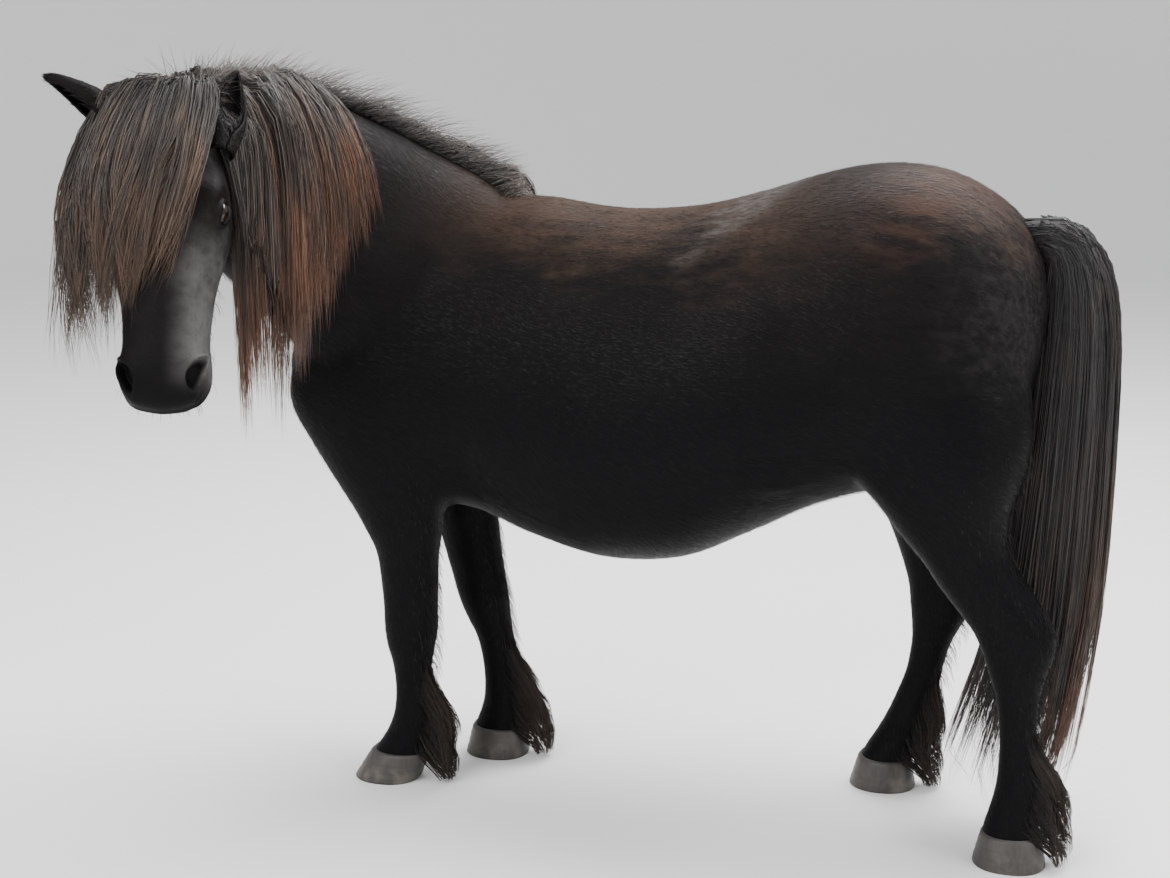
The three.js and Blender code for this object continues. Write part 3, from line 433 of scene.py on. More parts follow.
def relax(mesh, share, rounds):
    """Each round moves a point its own share of the way to its neighbours' mean."""
    points = read_points(mesh)
    pairs = read(mesh.edges, "vertices", 2, np.int32)
    a, b = pairs.T
    count = len(points)
    degree = np.maximum(np.bincount(pairs.ravel(), minlength=count), 1)[:, None]
    for _ in range(rounds):
        total = np.stack([
            np.bincount(a, points[b, k], count) + np.bincount(b, points[a, k], count)
            for k in range(3)
        ], 1)
        points = points + share[:, None] * (total / degree - points)
    write_points(mesh, points)
    return points


def ramp(value, low, high):
    """Smooth step from 0 at low to 1 at high."""
    t = np.clip((value - low) / (high - low), 0, 1)
    return t * t * (3 - 2 * t)


def in_head(points):
    """Head coordinates of points: down the face, forwards, to the left."""
    away = points - POLL
    return away @ DOWN, away @ FRONT, away @ LEFT


def share_of_head(points):
    """1 where the hide belongs to the head, running out to 0 over the throat."""
    s, f, _ = in_head(points)
    return ramp(s, -30, 60) * ramp(-points[:, 1], 300, 380) * ramp(f, -190, -90)


points = read_points(body.data)
headness = share_of_head(points)
share = 0.04 + 0.5 * ramp(points[:, 2], 400, 560) * (1 - headness) + 0.1 * headness
relax(body.data, share, 46)


def refine(mesh, chosen):
    """Halves the edges whose two ends are both chosen points."""
    shell = bmesh.new()
    shell.from_mesh(mesh)
    shell.edges.ensure_lookup_table()
    both = chosen[read(mesh.edges, "vertices", 2, np.int32)].all(1)
    edges = [shell.edges[i] for i in np.flatnonzero(both)]
    bmesh.ops.subdivide_edges(shell, edges=edges, cuts=1, use_grid_fill=True)
    shell.to_mesh(mesh)
    shell.free()
    mesh.shade_smooth()


EYE_RADIUS = 19.0
EYE_PLACE = (143, 16, 67)
ALMOND = (17.0, 10.5)
NOSTRIL_PLACE = (367, 10, 41)
LIP_LEVEL = -30

refine(body.data, headness > 0.5)
points = read_points(body.data)
s, f, l = in_head(points)
from_eye = (s - EYE_PLACE[0]) ** 2 + (f - EYE_PLACE[1]) ** 2 + (np.abs(l) - 76) ** 2
eye_near = from_eye < 44 ** 2
muzzle_near = (s > 318) & (f > -70)
refine(body.data, eye_near | muzzle_near)
headness = share_of_head(read_points(body.data))
points = relax(body.data, 0.5 * headness, 4)

# Muscles, bones and folds, each a soft swelling (or hollow) of the hide: middle,
# reach along three axes, height; the head's in its own axes, on both sides.
HEAD_RELIEF = [
    ((122, 36, 66), (24, 13, 16), 6.5),
    ((96, 36, 56), (17, 14, 14), -6.0),
    ((178, 0, 72), (36, 7, 16), 4.5),
    ((222, -12, 60), (34, 7, 16), 4.0),
    ((135, -62, 78), (52, 40, 30), 6.0),
    ((238, -58, 44), (28, 30, 26), -7.0),
    ((255, 12, 50), (44, 11, 16), -4.0),
    ((84, 54, 0), (44, 24, 50), 4.0),
    ((250, 40, 0), (70, 16, 22), 2.5),
    ((362, 14, 42), (25, 17, 20), 7.5),
    ((330, -4, 54), (14, 12, 14), -3.0),
    ((397, -6, 0), (14, 16, 36), 3.5),
    ((384, -50, 0), (20, 12, 30), 6.0),
    ((330, -44, 46), (20, 8, 18), 3.0),
]
BODY_RELIEF = [
    ((-588, 135, 636), (38, 45, 52), 9.0),
    ((-500, 165, 760), (46, 40, 90), 5.0),
    ((-388, 118, 505), (34, 30, 36), 7.0),
    ((-318, 168, 515), (34, 46, 80), -8.0),
    ((188, 226, 770), (64, 46, 70), -9.0),
    ((258, 200, 898), (40, 40, 30), 7.0),
    ((262, 200, 580), (40, 40, 46), 7.0),
    ((478, 150, 690), (26, 60, 90), -5.0),
    ((180, 205, 556), (50, 30, 16), 7.0),
    ((-120, 0, 940), (130, 18, 20), -4.0),
    ((150, 224, 592), (70, 40, 12), -7.0),
    ((-60, 215, 690), (150, 30, 120), 3.0),
]
normals = read_normals(body.data)


def swell(points, relief, mirror):
    """Sum of bells, each height times exp of minus the squared distance over reach."""
    total = np.zeros(len(points))
    for middle, reach, height in relief:
        away = points.copy()
        away[:, mirror] = np.abs(away[:, mirror])
        away = (away - middle) / reach
        total += height * np.exp(-(away ** 2).sum(1))
    return total


s, f, l = in_head(points)
in_face = np.stack([s, f, l], 1)
lift = headness * swell(in_face, HEAD_RELIEF, 2)
lift += (1 - headness) * swell(points, BODY_RELIEF, 1)
slit = f - LIP_LEVEL - 0.12 * (s - 400)
mouth = np.exp(-(slit / 2.4) ** 2) * ramp(s, 300, 330) * headness
lips = np.exp(-((slit - 9) / 5) ** 2) + np.exp(-((slit + 9) / 5) ** 2)
lips = lips * ramp(s, 310, 350) * headness
lift += 2.2 * lips - 5.0 * mouth
points = points + normals * lift[:, None]
# Painted shade: the mouth slit is marked to be darkened, as the nostrils and eye sockets are below.
hollow_shade = mouth * 0.9

# Nostril: a comma cut into the flared rim, deepest towards the middle of the nose.
for sign in (1, -1):
    middle = head_point(NOSTRIL_PLACE[0] + 2, NOSTRIL_PLACE[1] + 6, sign * (NOSTRIL_PLACE[2] + 2))
    flare = unit(LEFT * sign * 0.75 + FRONT * 0.66)
    length = unit(DOWN - LEFT * sign * 0.3 - flare * (DOWN - LEFT * sign * 0.3).dot(flare))
    across = np.cross(flare, length)
    away = points - middle
    o, a, b = away @ flare, away @ length, away @ across * sign
    comma = ((a + 1) / 22) ** 2 + ((b - 0.018 * (a - 2) ** 2 + 2) / 10.5) ** 2
    inside = (1 - ramp(comma, 0.35, 1.3)) * (o > -24)
    points = points - (flare * 19 - LEFT * sign * 7)[None] * inside[:, None]
    # Painted shade: the inside of the nostril is marked to be darkened.
    hollow_shade = np.maximum(hollow_shade, (1 - ramp(comma, 0.45, 1.0)) * (o > -24))
    edge = np.exp(-((comma - 1.8) / 0.7) ** 2) * (o > -20)
    points = points + flare[None] * 3.0 * edge[:, None]


def eye_axes(sign):
    """Directions out of the eye, along its slit and across it."""
    out = unit(LEFT * sign + FRONT * 0.28)
    length = DOWN + FRONT * 0.12
    length = unit(length - out * length.dot(out))
    return out, length, np.cross(out, length)


# Socket: inside the almond the hide sinks behind the eyeball, round it the lids roll
# over the ball.
for sign in (1, -1):
    out, length, across = eye_axes(sign)
    away = points - head_point(EYE_PLACE[0], EYE_PLACE[1], sign * EYE_PLACE[2])
    o, a, b = away @ out, away @ length, away @ across
    almond = np.hypot(a / ALMOND[0], b / ALMOND[1])
    radius = np.linalg.norm(away, axis=1)
    target = np.where(almond < 1, EYE_RADIUS * 0.8, EYE_RADIUS + 3.6 - 1.2 * ramp(almond, 1.2, 2))
    weight = (1 - ramp(almond, 1.35, 2.3)) * (o > -4) * (radius < 60)
    radius_new = radius + weight * (target - radius)
    points = points + away * ((radius_new / np.maximum(radius, 1e-6)) - 1)[:, None]
    # Painted shade: the hide sunk behind the eyeball is marked to be darkened.
    hollow_shade = np.maximum(hollow_shade, (almond < 1.1) * (o > 0) * (radius < 30))
write_points(body.data, points)


def point_values(mesh, **values):
    """Stores one number a point under each name."""
    for name, numbers in values.items():
        layer = mesh.attributes.new(name, "FLOAT", "POINT")
        layer.data.foreach_set("value", np.asarray(numbers, np.float32).ravel())


# The marks of painted shade in the hollows are stored on the hide.
point_values(body.data, Hollow=hollow_shade)


# Coat colour: a black summer coat with a faint blue of painted shade, bleached brown by the sun
# along the back, reddish over the croup and dock, with painted grey sheen, a painted highlight, on
# loin, rump and face.
def node(tree, kind, **values):
    """Adds a shader node and sets its properties and input values."""
    made = tree.nodes.new(kind)
    for key, value in values.items():
        if key in made.inputs:
            made.inputs[key].default_value = value
        else:
            setattr(made, key, value)
    return made


def shade(tree, kind, *inputs):
    """A Math node on sockets or numbers; returns its result."""
    made = node(tree, "ShaderNodeMath", operation=kind)
    for i, value in enumerate(inputs):
        if isinstance(value, (int, float)):
            made.inputs[i].default_value = value
        else:
            tree.links.new(value, made.inputs[i])
    return made.outputs[0]


def times(tree, first, *others):
    """Product of sockets and numbers."""
    for other in others:
        first = shade(tree, "MULTIPLY", first, other)
    return first


def plus(tree, first, second):
    """Sum of two sockets or numbers."""
    return shade(tree, "ADD", first, second)


def step_up(tree, value, low, high):
    """Smooth step of a socket from 0 at low to 1 at high."""
    made = node(tree, "ShaderNodeMapRange", interpolation_type="SMOOTHSTEP")
    tree.links.new(value, made.inputs["Value"])
    made.inputs["From Min"].default_value = low
    made.inputs["From Max"].default_value = high
    return made.outputs["Result"]


def steps(tree, *bands):
    """Product of smooth steps, each a socket with the places of its 0 and its 1."""
    return times(tree, *(step_up(tree, *band) for band in bands))


def blend(tree, share, under, over):
    """Mix of two colours, each a socket or a value, by a share."""
    made = node(tree, "ShaderNodeMix", data_type="RGBA")
    for socket, value in ((made.inputs[0], share), (made.inputs[6], under), (made.inputs[7], over)):
        if isinstance(value, tuple):
            socket.default_value = (*value, 1)
        elif isinstance(value, float):
            socket.default_value = value
        else:
            tree.links.new(value, socket)
    return made.outputs[2]


def own_place(tree):
    """Place in the object's own coordinates, which are the row frame's."""
    return node(tree, "ShaderNodeTexCoord").outputs["Object"]


def point_value(tree, name):
    """Number that a mesh stores at its points under a name."""
    return node(tree, "ShaderNodeAttribute", attribute_name=name).outputs["Fac"]


def noise(tree, where, scale, detail=3.0, stretch=(1, 1, 1)):
    """Noise value at object coordinates stretched along the axes."""
    mapping = node(tree, "ShaderNodeMapping", Scale=stretch)
    tree.links.new(where, mapping.inputs["Vector"])
    made = node(tree, "ShaderNodeTexNoise", Scale=scale, Detail=detail)
    tree.links.new(mapping.outputs[0], made.inputs["Vector"])
    return made.outputs["Fac"]


def raise_bumps(tree, shader, height, strength, distance):
    """Leads a height through a Bump node to the shader's normal."""
    bump = node(tree, "ShaderNodeBump", Strength=strength, Distance=distance)
    tree.links.new(height, bump.inputs["Height"])
    tree.links.new(bump.outputs[0], shader.inputs["Normal"])


def along_axis(tree, where, axis, start):
    """Distance of a place from a start along an axis, both in the row frame."""
    made = node(tree, "ShaderNodeVectorMath", operation="DOT_PRODUCT")
    tree.links.new(where, made.inputs[0])
    made.inputs[1].default_value = tuple(axis)
    return shade(tree, "SUBTRACT", made.outputs["Value"], float(start @ axis))


# The black carries a faint blue, a painted tint of shade.
BLACK = (0.0022, 0.0022, 0.0027)
SEAL = (0.008, 0.006, 0.0055)
BLEACHED = (0.052, 0.031, 0.021)
RUST = (0.048, 0.024, 0.016)
# Painted highlight colours: grey sheen for loin and rump, and a brighter one for the face.
PAINTED_SHEEN = (0.07, 0.066, 0.064)
PAINTED_FACE_SHEEN = (0.12, 0.116, 0.112)
HOLLOW_SHADE_BLACK = (0.0015, 0.0012, 0.0012)


def coat_colour(tree):
    """Colour of skin and short coat by place, in metres: black with a faint painted blue of shade,
    with the sun-bleached saddle, rusty croup and the painted grey sheen, a painted highlight,
    of loin, rump and face, broken up by noise."""
    where = own_place(tree)
    split = node(tree, "ShaderNodeSeparateXYZ")
    tree.links.new(where, split.inputs[0])
    x, y, z = split.outputs
    clouds = noise(tree, where, 7.0, 4.0)
    streaks = noise(tree, where, 60.0, 3.0, (0.25, 1, 1))
    broken = plus(tree, times(tree, clouds, 0.75), times(tree, streaks, 0.45))
    height = plus(tree, z, times(tree, shade(tree, "SUBTRACT", broken, 0.6), 0.24))
    colour = blend(tree, times(tree, step_up(tree, height, 0.62, 0.95), 0.7), BLACK, SEAL)
    saddle = steps(tree, (height, 0.82, 0.95), (x, -0.36, -0.08), (x, 0.42, 0.06))
    colour = blend(tree, times(tree, saddle, 0.8), colour, BLEACHED)
    croup = steps(tree, (height, 0.86, 0.97), (x, 0.3, 0.46), (broken, 0.4, 0.68))
    colour = blend(tree, times(tree, croup, 0.75), colour, RUST)
    poll = (POLL - MIDDLE) / 1000
    down, left = (along_axis(tree, where, axis, poll) for axis in (DOWN, LEFT))
    # Painted highlight: grey sheen over the lit left cheek of the face.
    cheek_sheen = steps(tree, (left, 0.0, 0.05), (down, 0.13, 0.24), (down, 0.4, 0.36),
                  (y, -0.13, -0.18), (broken, 0.3, 0.75))
    colour = blend(tree, times(tree, cheek_sheen, 0.55), colour, PAINTED_FACE_SHEEN)
    # Painted highlight: a silver streak of sheen along the loin and grey sheen over the rump,
    # broken by fine noise.
    slope = plus(tree, z, times(tree, x, -0.75))
    loin_sheen = steps(tree, (slope, 0.765, 0.80), (slope, 0.85, 0.81), (x, 0.07, 0.14), (x, 0.33, 0.24))
    rump_sheen = steps(tree, (x, 0.42, 0.56), (height, 0.66, 0.8))
    fine = step_up(tree, noise(tree, where, 150.0, 3.0, (0.3, 1, 0.6)), 0.35, 0.65)
    painted_sheen = shade(tree, "MAXIMUM", loin_sheen, times(tree, rump_sheen, 0.24))
    painted_sheen = times(tree, step_up(tree, broken, 0.36, 0.7), painted_sheen)
    painted_sheen = times(tree, painted_sheen, plus(tree, times(tree, fine, 0.6), 0.25))
    return where, blend(tree, times(tree, painted_sheen, 0.9), colour, PAINTED_SHEEN)


where, colour = coat_colour(hide_tree)
# Painted shade: the marked hollows of mouth, nostrils and eye sockets turn near black.
depth = times(hide_tree, point_value(hide_tree, "Hollow"), 0.94)
colour = blend(hide_tree, depth, colour, HOLLOW_SHADE_BLACK)
hide_tree.links.new(colour, hide_shader.inputs["Base Color"])
hair_lines = noise(hide_tree, where, 260.0, 2.0, (0.3, 1, 0.55))
pores = times(hide_tree, noise(hide_tree, where, 900.0, 2.0), 0.3)
raise_bumps(hide_tree, hide_shader, plus(hide_tree, hair_lines, pores), 0.35, 0.002)
hide_shader.inputs["Specular IOR Level"].default_value = 0.06
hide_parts("torso", "neck", "head", "foreleg_left", "foreleg_right", "hindleg_left",
            "hindleg_right", "lower_fore_left", "lower_fore_right", "lower_hind_left",
            "lower_hind_right")
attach(body, "root")

# Eyes: glass, as a model maker sets them, a near black iris with a wide level pupil
# under a clear bulging front, held by a smooth bare lid margin.
IRIS_ANGLE = 0.98
PUPIL_ANGLES = (0.34, 0.17)
eye_paint, eye_tree, eye_shader = paint("eye_glass", (0.01, 0.006, 0.004), 0.08)
iris, pupil = point_value(eye_tree, "Iris"), point_value(eye_tree, "Pupil")
fibres = noise(eye_tree, own_place(eye_tree), 500.0, 3.0)
brown = blend(eye_tree, fibres, (0.006, 0.0035, 0.0025), (0.022, 0.011, 0.006))
brown = blend(eye_tree, step_up(eye_tree, iris, 0.8, 1.0), brown, (0.004, 0.003, 0.003))
brown = blend(eye_tree, step_up(eye_tree, iris, 1.02, 1.2), brown, (0.03, 0.022, 0.018))
brown = blend(eye_tree, step_up(eye_tree, pupil, 1.1, 0.9), brown, (0.002, 0.002, 0.004))
eye_tree.links.new(brown, eye_shader.inputs["Base Color"])
eye_shader.inputs["Specular IOR Level"].default_value = 0.25
eye_shader.inputs["Coat Weight"].default_value = 0.3
eye_shader.inputs["Coat Roughness"].default_value = 0.02
lid_paint, lid_tree, lid_shader = paint("bare_lid", (0.004, 0.0035, 0.0035), 0.5)
lid_shader.inputs["Specular IOR Level"].default_value = 0.08
raise_bumps(lid_tree, lid_shader, noise(lid_tree, own_place(lid_tree), 700.0, 2.0), 0.3, 0.0006)
for side, sign in (("left", 1), ("right", -1)):
    out, length, across = eye_axes(sign)
    centre = head_point(EYE_PLACE[0], EYE_PLACE[1], sign * EYE_PLACE[2])
    # Ball: angle from its front pole down the rows, the clear front a little proud.
    t, a = all_round(np.linspace(0.02, pi - 0.02, 40), 56)
    radius = EYE_RADIUS * (0.985 + 0.05 * (1 - ramp(t, 0.2, 0.8)))
    round_slit = length * np.cos(a)[..., None] + across * np.sin(a)[..., None]
    shape = out * np.cos(t)[..., None] + round_slit * np.sin(t)[..., None]
    rings = centre + shape * radius[..., None]
    points, faces = closed_shell(rings, centre + out * radius[0, 0], centre - out * radius[-1, 0])
    eyeball = mesh_object(f"eye_{side}_glass", metres(points), faces, eye_paint)
    outwards(eyeball)
    back = read_points(eyeball.data) - centre
    angle = np.arccos(np.clip(unit(back) @ out, -1, 1))
    flat = unit(back - (back @ out)[:, None] * out)
    level = angle * (flat @ length) / PUPIL_ANGLES[0]
    upright = angle * (flat @ across) / PUPIL_ANGLES[1]
    point_values(eyeball.data, Iris=angle / IRIS_ANGLE, Pupil=np.hypot(level, upright))
    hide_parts(f"eye_{side}")
    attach(eyeball, "root")
    # Lid margin: a ring carried round the almond on the ball, thicker above.
    p, q = all_round(np.arange(72) * 2 * pi / 72, 12)
    a, b = ALMOND[0] * 1.03 * np.cos(p), ALMOND[1] * np.sin(p) * np.abs(np.sin(p)) ** 0.2
    ahead = np.sqrt(EYE_RADIUS ** 2 - a ** 2 - b ** 2)
    way = unit(out * ahead[..., None] + length * a[..., None] + across * b[..., None])
    rim = unit(length * np.cos(p)[..., None] * 0.7 + across * np.sin(p)[..., None])
    thick = 1.7 + 0.5 * np.abs(np.sin(p))
    tube = (way * np.sin(q)[..., None] + rim * np.cos(q)[..., None]) * thick[..., None]
    points = centre + way * (EYE_RADIUS + 1.2) + tube
    corners = grid_faces(73, 12, closed=True) % (72 * 12)
    lid = mesh_object(f"lid_{side}", metres(points.reshape(-1, 3)), corners, lid_paint)
    outwards(lid)
    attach(lid, "root")

# Ears: thin leaves of hide rolled into cups. The left one stands up and opens forwards,
# the right one lies out to the side and opens downwards.
EAR = [
    # height up the ear, half width, depth, share of a wide opening
    [-24, 17, 15, 0.0],
    [4, 23, 20, 0.25],
    [30, 28, 22, 0.75],
    [58, 27, 18, 0.95],
    [84, 19, 12, 1.0],
    [104, 10, 7, 0.9],
    [114, 3, 2.5, 0.8],
]
EARS = {
    "left": (
        head_point(34, 10, 76),
        np.array([0, 0, 0.6]) + LEFT * 0.05 - NOSE * 0.5,
        NOSE * 0.9 + LEFT * 0.45,
    ),
    "right": (
        head_point(0, -8, -74),
        np.array([0, 0, 0.6]) - LEFT * 0.8 + NOSE * 0.1,
        NOSE * 0.55 - LEFT * 0.5 - np.array([0, 0, 0.7]),
    ),
}


def ear_frame(side):
    """Root, lengthwise, opening and sideways directions of an ear."""
    root, axis, opening = EARS[side]
    axis = unit(axis)
    opening = unit(opening - axis * opening.dot(axis))
    return root, axis, opening, np.cross(axis, opening)


def ear_point(side, t, a):
    """Rolled leaf: at t up the ear an arc of an ellipse that runs round the back from
    one free edge, a = -1, to the other, a = 1; the opening widens upwards."""
    root, axis, opening, across = ear_frame(side)
    gap = 1.05 * along(EAR, 3, t)
    angle = pi + a * (pi - gap)
    half, deep = along(EAR, 1, t), along(EAR, 2, t)
    curl = 1 - 0.12 * np.abs(a) ** 3 * along(EAR, 3, t)
    bend = 5 * np.sin(pi * t)
    place = root + axis * along(EAR, 0, t)[..., None]
    place = place + across * (half * curl * np.sin(angle))[..., None]
    return place + opening * (deep * np.cos(angle) - bend)[..., None]


for side in EARS:
    t, a = np.meshgrid(np.linspace(0, 1, 36), np.linspace(-1, 1, 33), indexing="ij")
    points = metres(ear_point(side, t, a).reshape(-1, 3))
    leaf = mesh_object(f"ear_{side}_leaf", points, grid_faces(36, 33), hide)
    wall = leaf.modifiers.new("wall", "SOLIDIFY")
    wall.thickness = 0.0032
    wall.offset = 0
    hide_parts(f"ear_{side}")
    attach(leaf, "root")

# Hooves: unshod horn, with a slanting wall that has growth rings and runs up under the
# hair, a worn lower edge, and a flat sole on the floor.
HOOFS = {
    # sole and hair line: height, toe, heel, middle, half width
    "fore_left": [[0, -541, -434, -69, 48], [HOOF_HEIGHT, -514, -416, -69, 40]],
    "fore_right": [[0, -401, -296, 79, 48], [HOOF_HEIGHT, -391, -297, 79, 40]],
    "hind_left": [[0, 455, 561, -128, 49], [HOOF_HEIGHT, 465, 553, -128, 41]],
    "hind_right": [[0, 240, 345, 118, 49], [HOOF_HEIGHT, 252, 338, 118, 41]],
}
horn, horn_tree, horn_shader = paint("hoof_horn", (0.022, 0.019, 0.017), 0.5)
where = own_place(horn_tree)
tubes = noise(horn_tree, where, 220.0, 2.0, (1, 1, 0.06))
rings = noise(horn_tree, where, 60.0, 3.0, (0.1, 0.1, 1.6))
dust = noise(horn_tree, where, 35.0, 5.0)
split = node(horn_tree, "ShaderNodeSeparateXYZ")
horn_tree.links.new(where, split.inputs[0])
tint = blend(horn_tree, tubes, (0.014, 0.0125, 0.012), (0.045, 0.038, 0.032))
low = step_up(horn_tree, split.outputs[2], 0.05, 0.0)
soiled = times(horn_tree, step_up(horn_tree, dust, 0.42, 0.7), low)
tint = blend(horn_tree, soiled, tint, (0.10, 0.085, 0.07))
horn_tree.links.new(tint, horn_shader.inputs["Base Color"])
ridges = plus(horn_tree, rings, times(horn_tree, tubes, 0.5))
raise_bumps(horn_tree, horn_shader, ridges, 0.5, 0.0012)
for name, rows in HOOFS.items():
    # Wall: level rounded boxes from sole to hair line, bevelled below, ringed above.
    profile = np.array([0, 0, 0.04, 0.1, 0.2, 0.3, 0.4, 0.5, 0.6, 0.7, 0.8, 0.9, 1.0, 1.12])
    shrink = np.array([5.0, 1.6, 0.4, 0, 0, 0, 0, 0, 0, 0, 0, 0, 0.4, 2.5])
    v, a = all_round(np.arange(len(profile)), 56)
    h = profile[v]
    (_, sole_toe, sole_heel, middle, sole_half), (_, top_toe, top_heel, _, top_half) = rows
    toe = sole_toe + (top_toe - sole_toe) * h
    heel = sole_heel + (top_heel - sole_heel) * h
    half = sole_half + (top_half - sole_half) * h - shrink[v]
    ring = 0.5 * np.sin(h * 40) * (v > 1)
    wear = 0.8 * np.sin(a * 7 + 1) * np.sin(a * 3) * (v == 2)
    x = (toe + heel) / 2 + ((heel - toe) / 2 - shrink[v] + ring) * rounded(np.cos(a), 2.2)
    y = middle + (half + ring) * rounded(np.sin(a), 2.3)
    z = h * HOOF_HEIGHT + np.maximum(wear, 0)
    sole = [(sole_toe + sole_heel) / 2, middle, 0]
    top = [(toe[-1, 0] + heel[-1, 0]) / 2, middle, z[-1, 0]]
    points, faces = closed_shell(np.stack([x, y, z], -1), sole, top)
    hoof = mesh_object(f"hoof_{name}_wall", metres(points), faces, horn)
    outwards(hoof)
    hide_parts(f"hoof_{name}")
    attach(hoof, "root")

# Mane: long coarse hair set along the crest in overlapping locks. The front half
# falls to the near side in long rust-tipped locks, the rest to the far side, and short
# upright hair fringes the crest.
SEED = 12
random = np.random.default_rng(SEED)
TRIANGLE_LIMIT = 195000
DOWNWARDS = np.array([0.0, 0, -1])


def frames_of(centre, ahead, side, up, half, above, below):
    """Frames of a part that hair lies over, all with the same number of rows."""
    count = len(half)
    spread = [np.broadcast_to(v, (count, 3)) for v in (centre, ahead, side, up)]
    return (*spread, half, above, below)


t = np.linspace(0, 1, 41)
centre, ahead, side, up = neck_frame(t)
brow = along(HEAD, 3, t)
flank = along(TRUNK, 3, t)
SHELLS = [
    frames_of(centre, ahead, side, up, along(NECK, 5, t), along(NECK, 3, t), along(NECK, 4, t)),
    frames_of(head_point(along(HEAD, 0, t), brow, 0), DOWN, LEFT, FRONT,
              along(HEAD, 4, t), along(HEAD, 1, t) - brow, brow - along(HEAD, 2, t)),
    frames_of(np.stack([along(TRUNK, 0, t), 0 * t, flank], 1),
              np.array([1.0, 0, 0]), np.array([0, -1.0, 0]), np.array([0, 0, 1.0]),
              along(TRUNK, 4, t), along(TRUNK, 1, t) - flank, flank - along(TRUNK, 2, t)),
]


def beside(shell, point):
    """For each point the row of a part's nearest frame, its places across, up and ahead
    of that frame, and the frame's half width and its reach on the point's side."""
    centre, ahead, side, up, half, above, below = shell
    row = ((point[:, None] - centre[None]) ** 2).sum(-1).argmin(1)
    away = point - centre[row]
    across, height, forward = ((away * way[row]).sum(1) for way in (side, up, ahead))
    reach = np.where(height > 0, above[row], below[row])
    return row, across, height, forward, half[row], reach


def settle(point, clearance):
    """Points moved straight out of neck, head and trunk until their distance from the
    nearest frame's ellipse is at least the clearance."""
    point = point.copy()
    for shell in SHELLS:
        row, c, s, forward, wide, reach = beside(shell, point)
        q = np.maximum(np.hypot(c / wide, s / reach), 1e-3)
        short = clearance - np.hypot(c, s) * (1 - 1 / q)
        way = shell[2][row] * (c / wide ** 2)[:, None] + shell[3][row] * (s / reach ** 2)[:, None]
        move = (short > 0) & (np.abs(forward) < 40)
        point = point + unit(way) * (short * move)[:, None]
    return point


def drape(root, heading, length, steps, fall, clearance):
    """Paths that start at a root in a heading: each step turns a share of the way
    down, moves on by an equal length and is pushed out of whatever it meets."""
    point, way = root.copy(), unit(heading)
    step = (length / steps)[:, None]
    path = [point]
    for _ in range(steps):
        way = unit(way * (1 - fall) + DOWNWARDS * fall)
        moved = settle(point + way * step, clearance)
        way = unit(moved - point)
        point = moved
        path.append(point)
    return np.stack(path, 1)


def resample(path, share, rows):
    """Each path cut to a share of its length and given a number of rows."""
    place = np.linspace(0, 1, rows)[None] * share[:, None] * (path.shape[1] - 1)
    i = np.minimum(place.astype(int), path.shape[1] - 2)
    f = (place - i)[..., None]
    line = np.arange(len(path))[:, None]
    return path[line, i] * (1 - f) + path[line, i + 1] * f


def outward(path):
    """Direction away from the nearest frame of the body at each point of paths."""
    flat = path.reshape(-1, 3)
    centres = np.concatenate([shell[0] for shell in SHELLS])
    nearest = np.stack([((flat - c) ** 2).sum(1) for c in centres[::3]], 1).argmin(1)
    return unit(flat - centres[::3][nearest]).reshape(path.shape)


def locks_of(path, facing, count, spread, rows, share, gather, wave):
    """Strands of every lock: count copies of its path, each cut to a share of it and
    set off inside a disc that gathers towards the tip, with a slow wave."""
    guide = np.repeat(path, count, 0)
    facing = np.repeat(facing, count, 0)
    number = len(guide)
    cut = share[0] + (share[1] - share[0]) * random.random(number) ** 0.7
    guide, facing = resample(guide, cut, rows), unit(resample(facing, cut, rows))
    way = unit(np.gradient(guide, axis=1))
    side = unit(np.cross(way, facing))
    angle, radius = 2 * pi * random.random(number), np.sqrt(random.random(number))
    f = np.linspace(0, 1, rows)[None] * cut[:, None]
    width = np.repeat(spread, count)[:, None] * radius[:, None] * (1 - gather * f)
    waves = f * (4 + 5 * random.random((number, 1)))
    swing = wave * f * np.sin(waves + 2 * pi * random.random((number, 1)))
    offset = side * (width * np.cos(angle)[:, None] + swing)[..., None]
    offset += facing * (width * 0.45 * np.sin(angle)[:, None])[..., None]
    return guide + offset, facing


def unwrap(point):
    """Place of a root on the unwrapped hide: which part it is on gives the field of a
    four by two sheet, the angle round that part and the place along it the place."""
    fields, best = np.zeros((len(point), 2)), np.full(len(point), 1e9)
    sheets = []
    for shell in SHELLS:
        row, c, s, forward, wide, reach = beside(shell, point)
        distance = np.hypot(c / wide, s / reach) + np.abs(forward) / 60
        sheets.append((distance, np.arctan2(s / reach, c / wide), 0.02 + 0.46 * row / 40))
    for table in LEGS.values():
        place = place_of(table, point[:, 2])
        front, rear = along(table, 1, place), along(table, 2, place)
        dx = (point[:, 0] - (front + rear) / 2) / ((rear - front) / 2)
        dy = (point[:, 1] - along(table, 3, place)) / along(table, 4, place)
        distance = np.hypot(dx, dy) + (point[:, 2] > 560) * 3
        sheets.append((distance, np.arctan2(dy, dx), 0.52 + 0.46 * place))
    for column, (distance, angle, height) in zip([0, 1, 2, 0, 1, 2, 3], sheets):
        turn = (angle / (2 * pi)) % 1
        field = np.stack([(column + 0.04 + 0.9 * turn) / 4, height], 1)
        fields = np.where((distance < best)[:, None], field, fields)
        best = np.minimum(best, distance)
    return fields


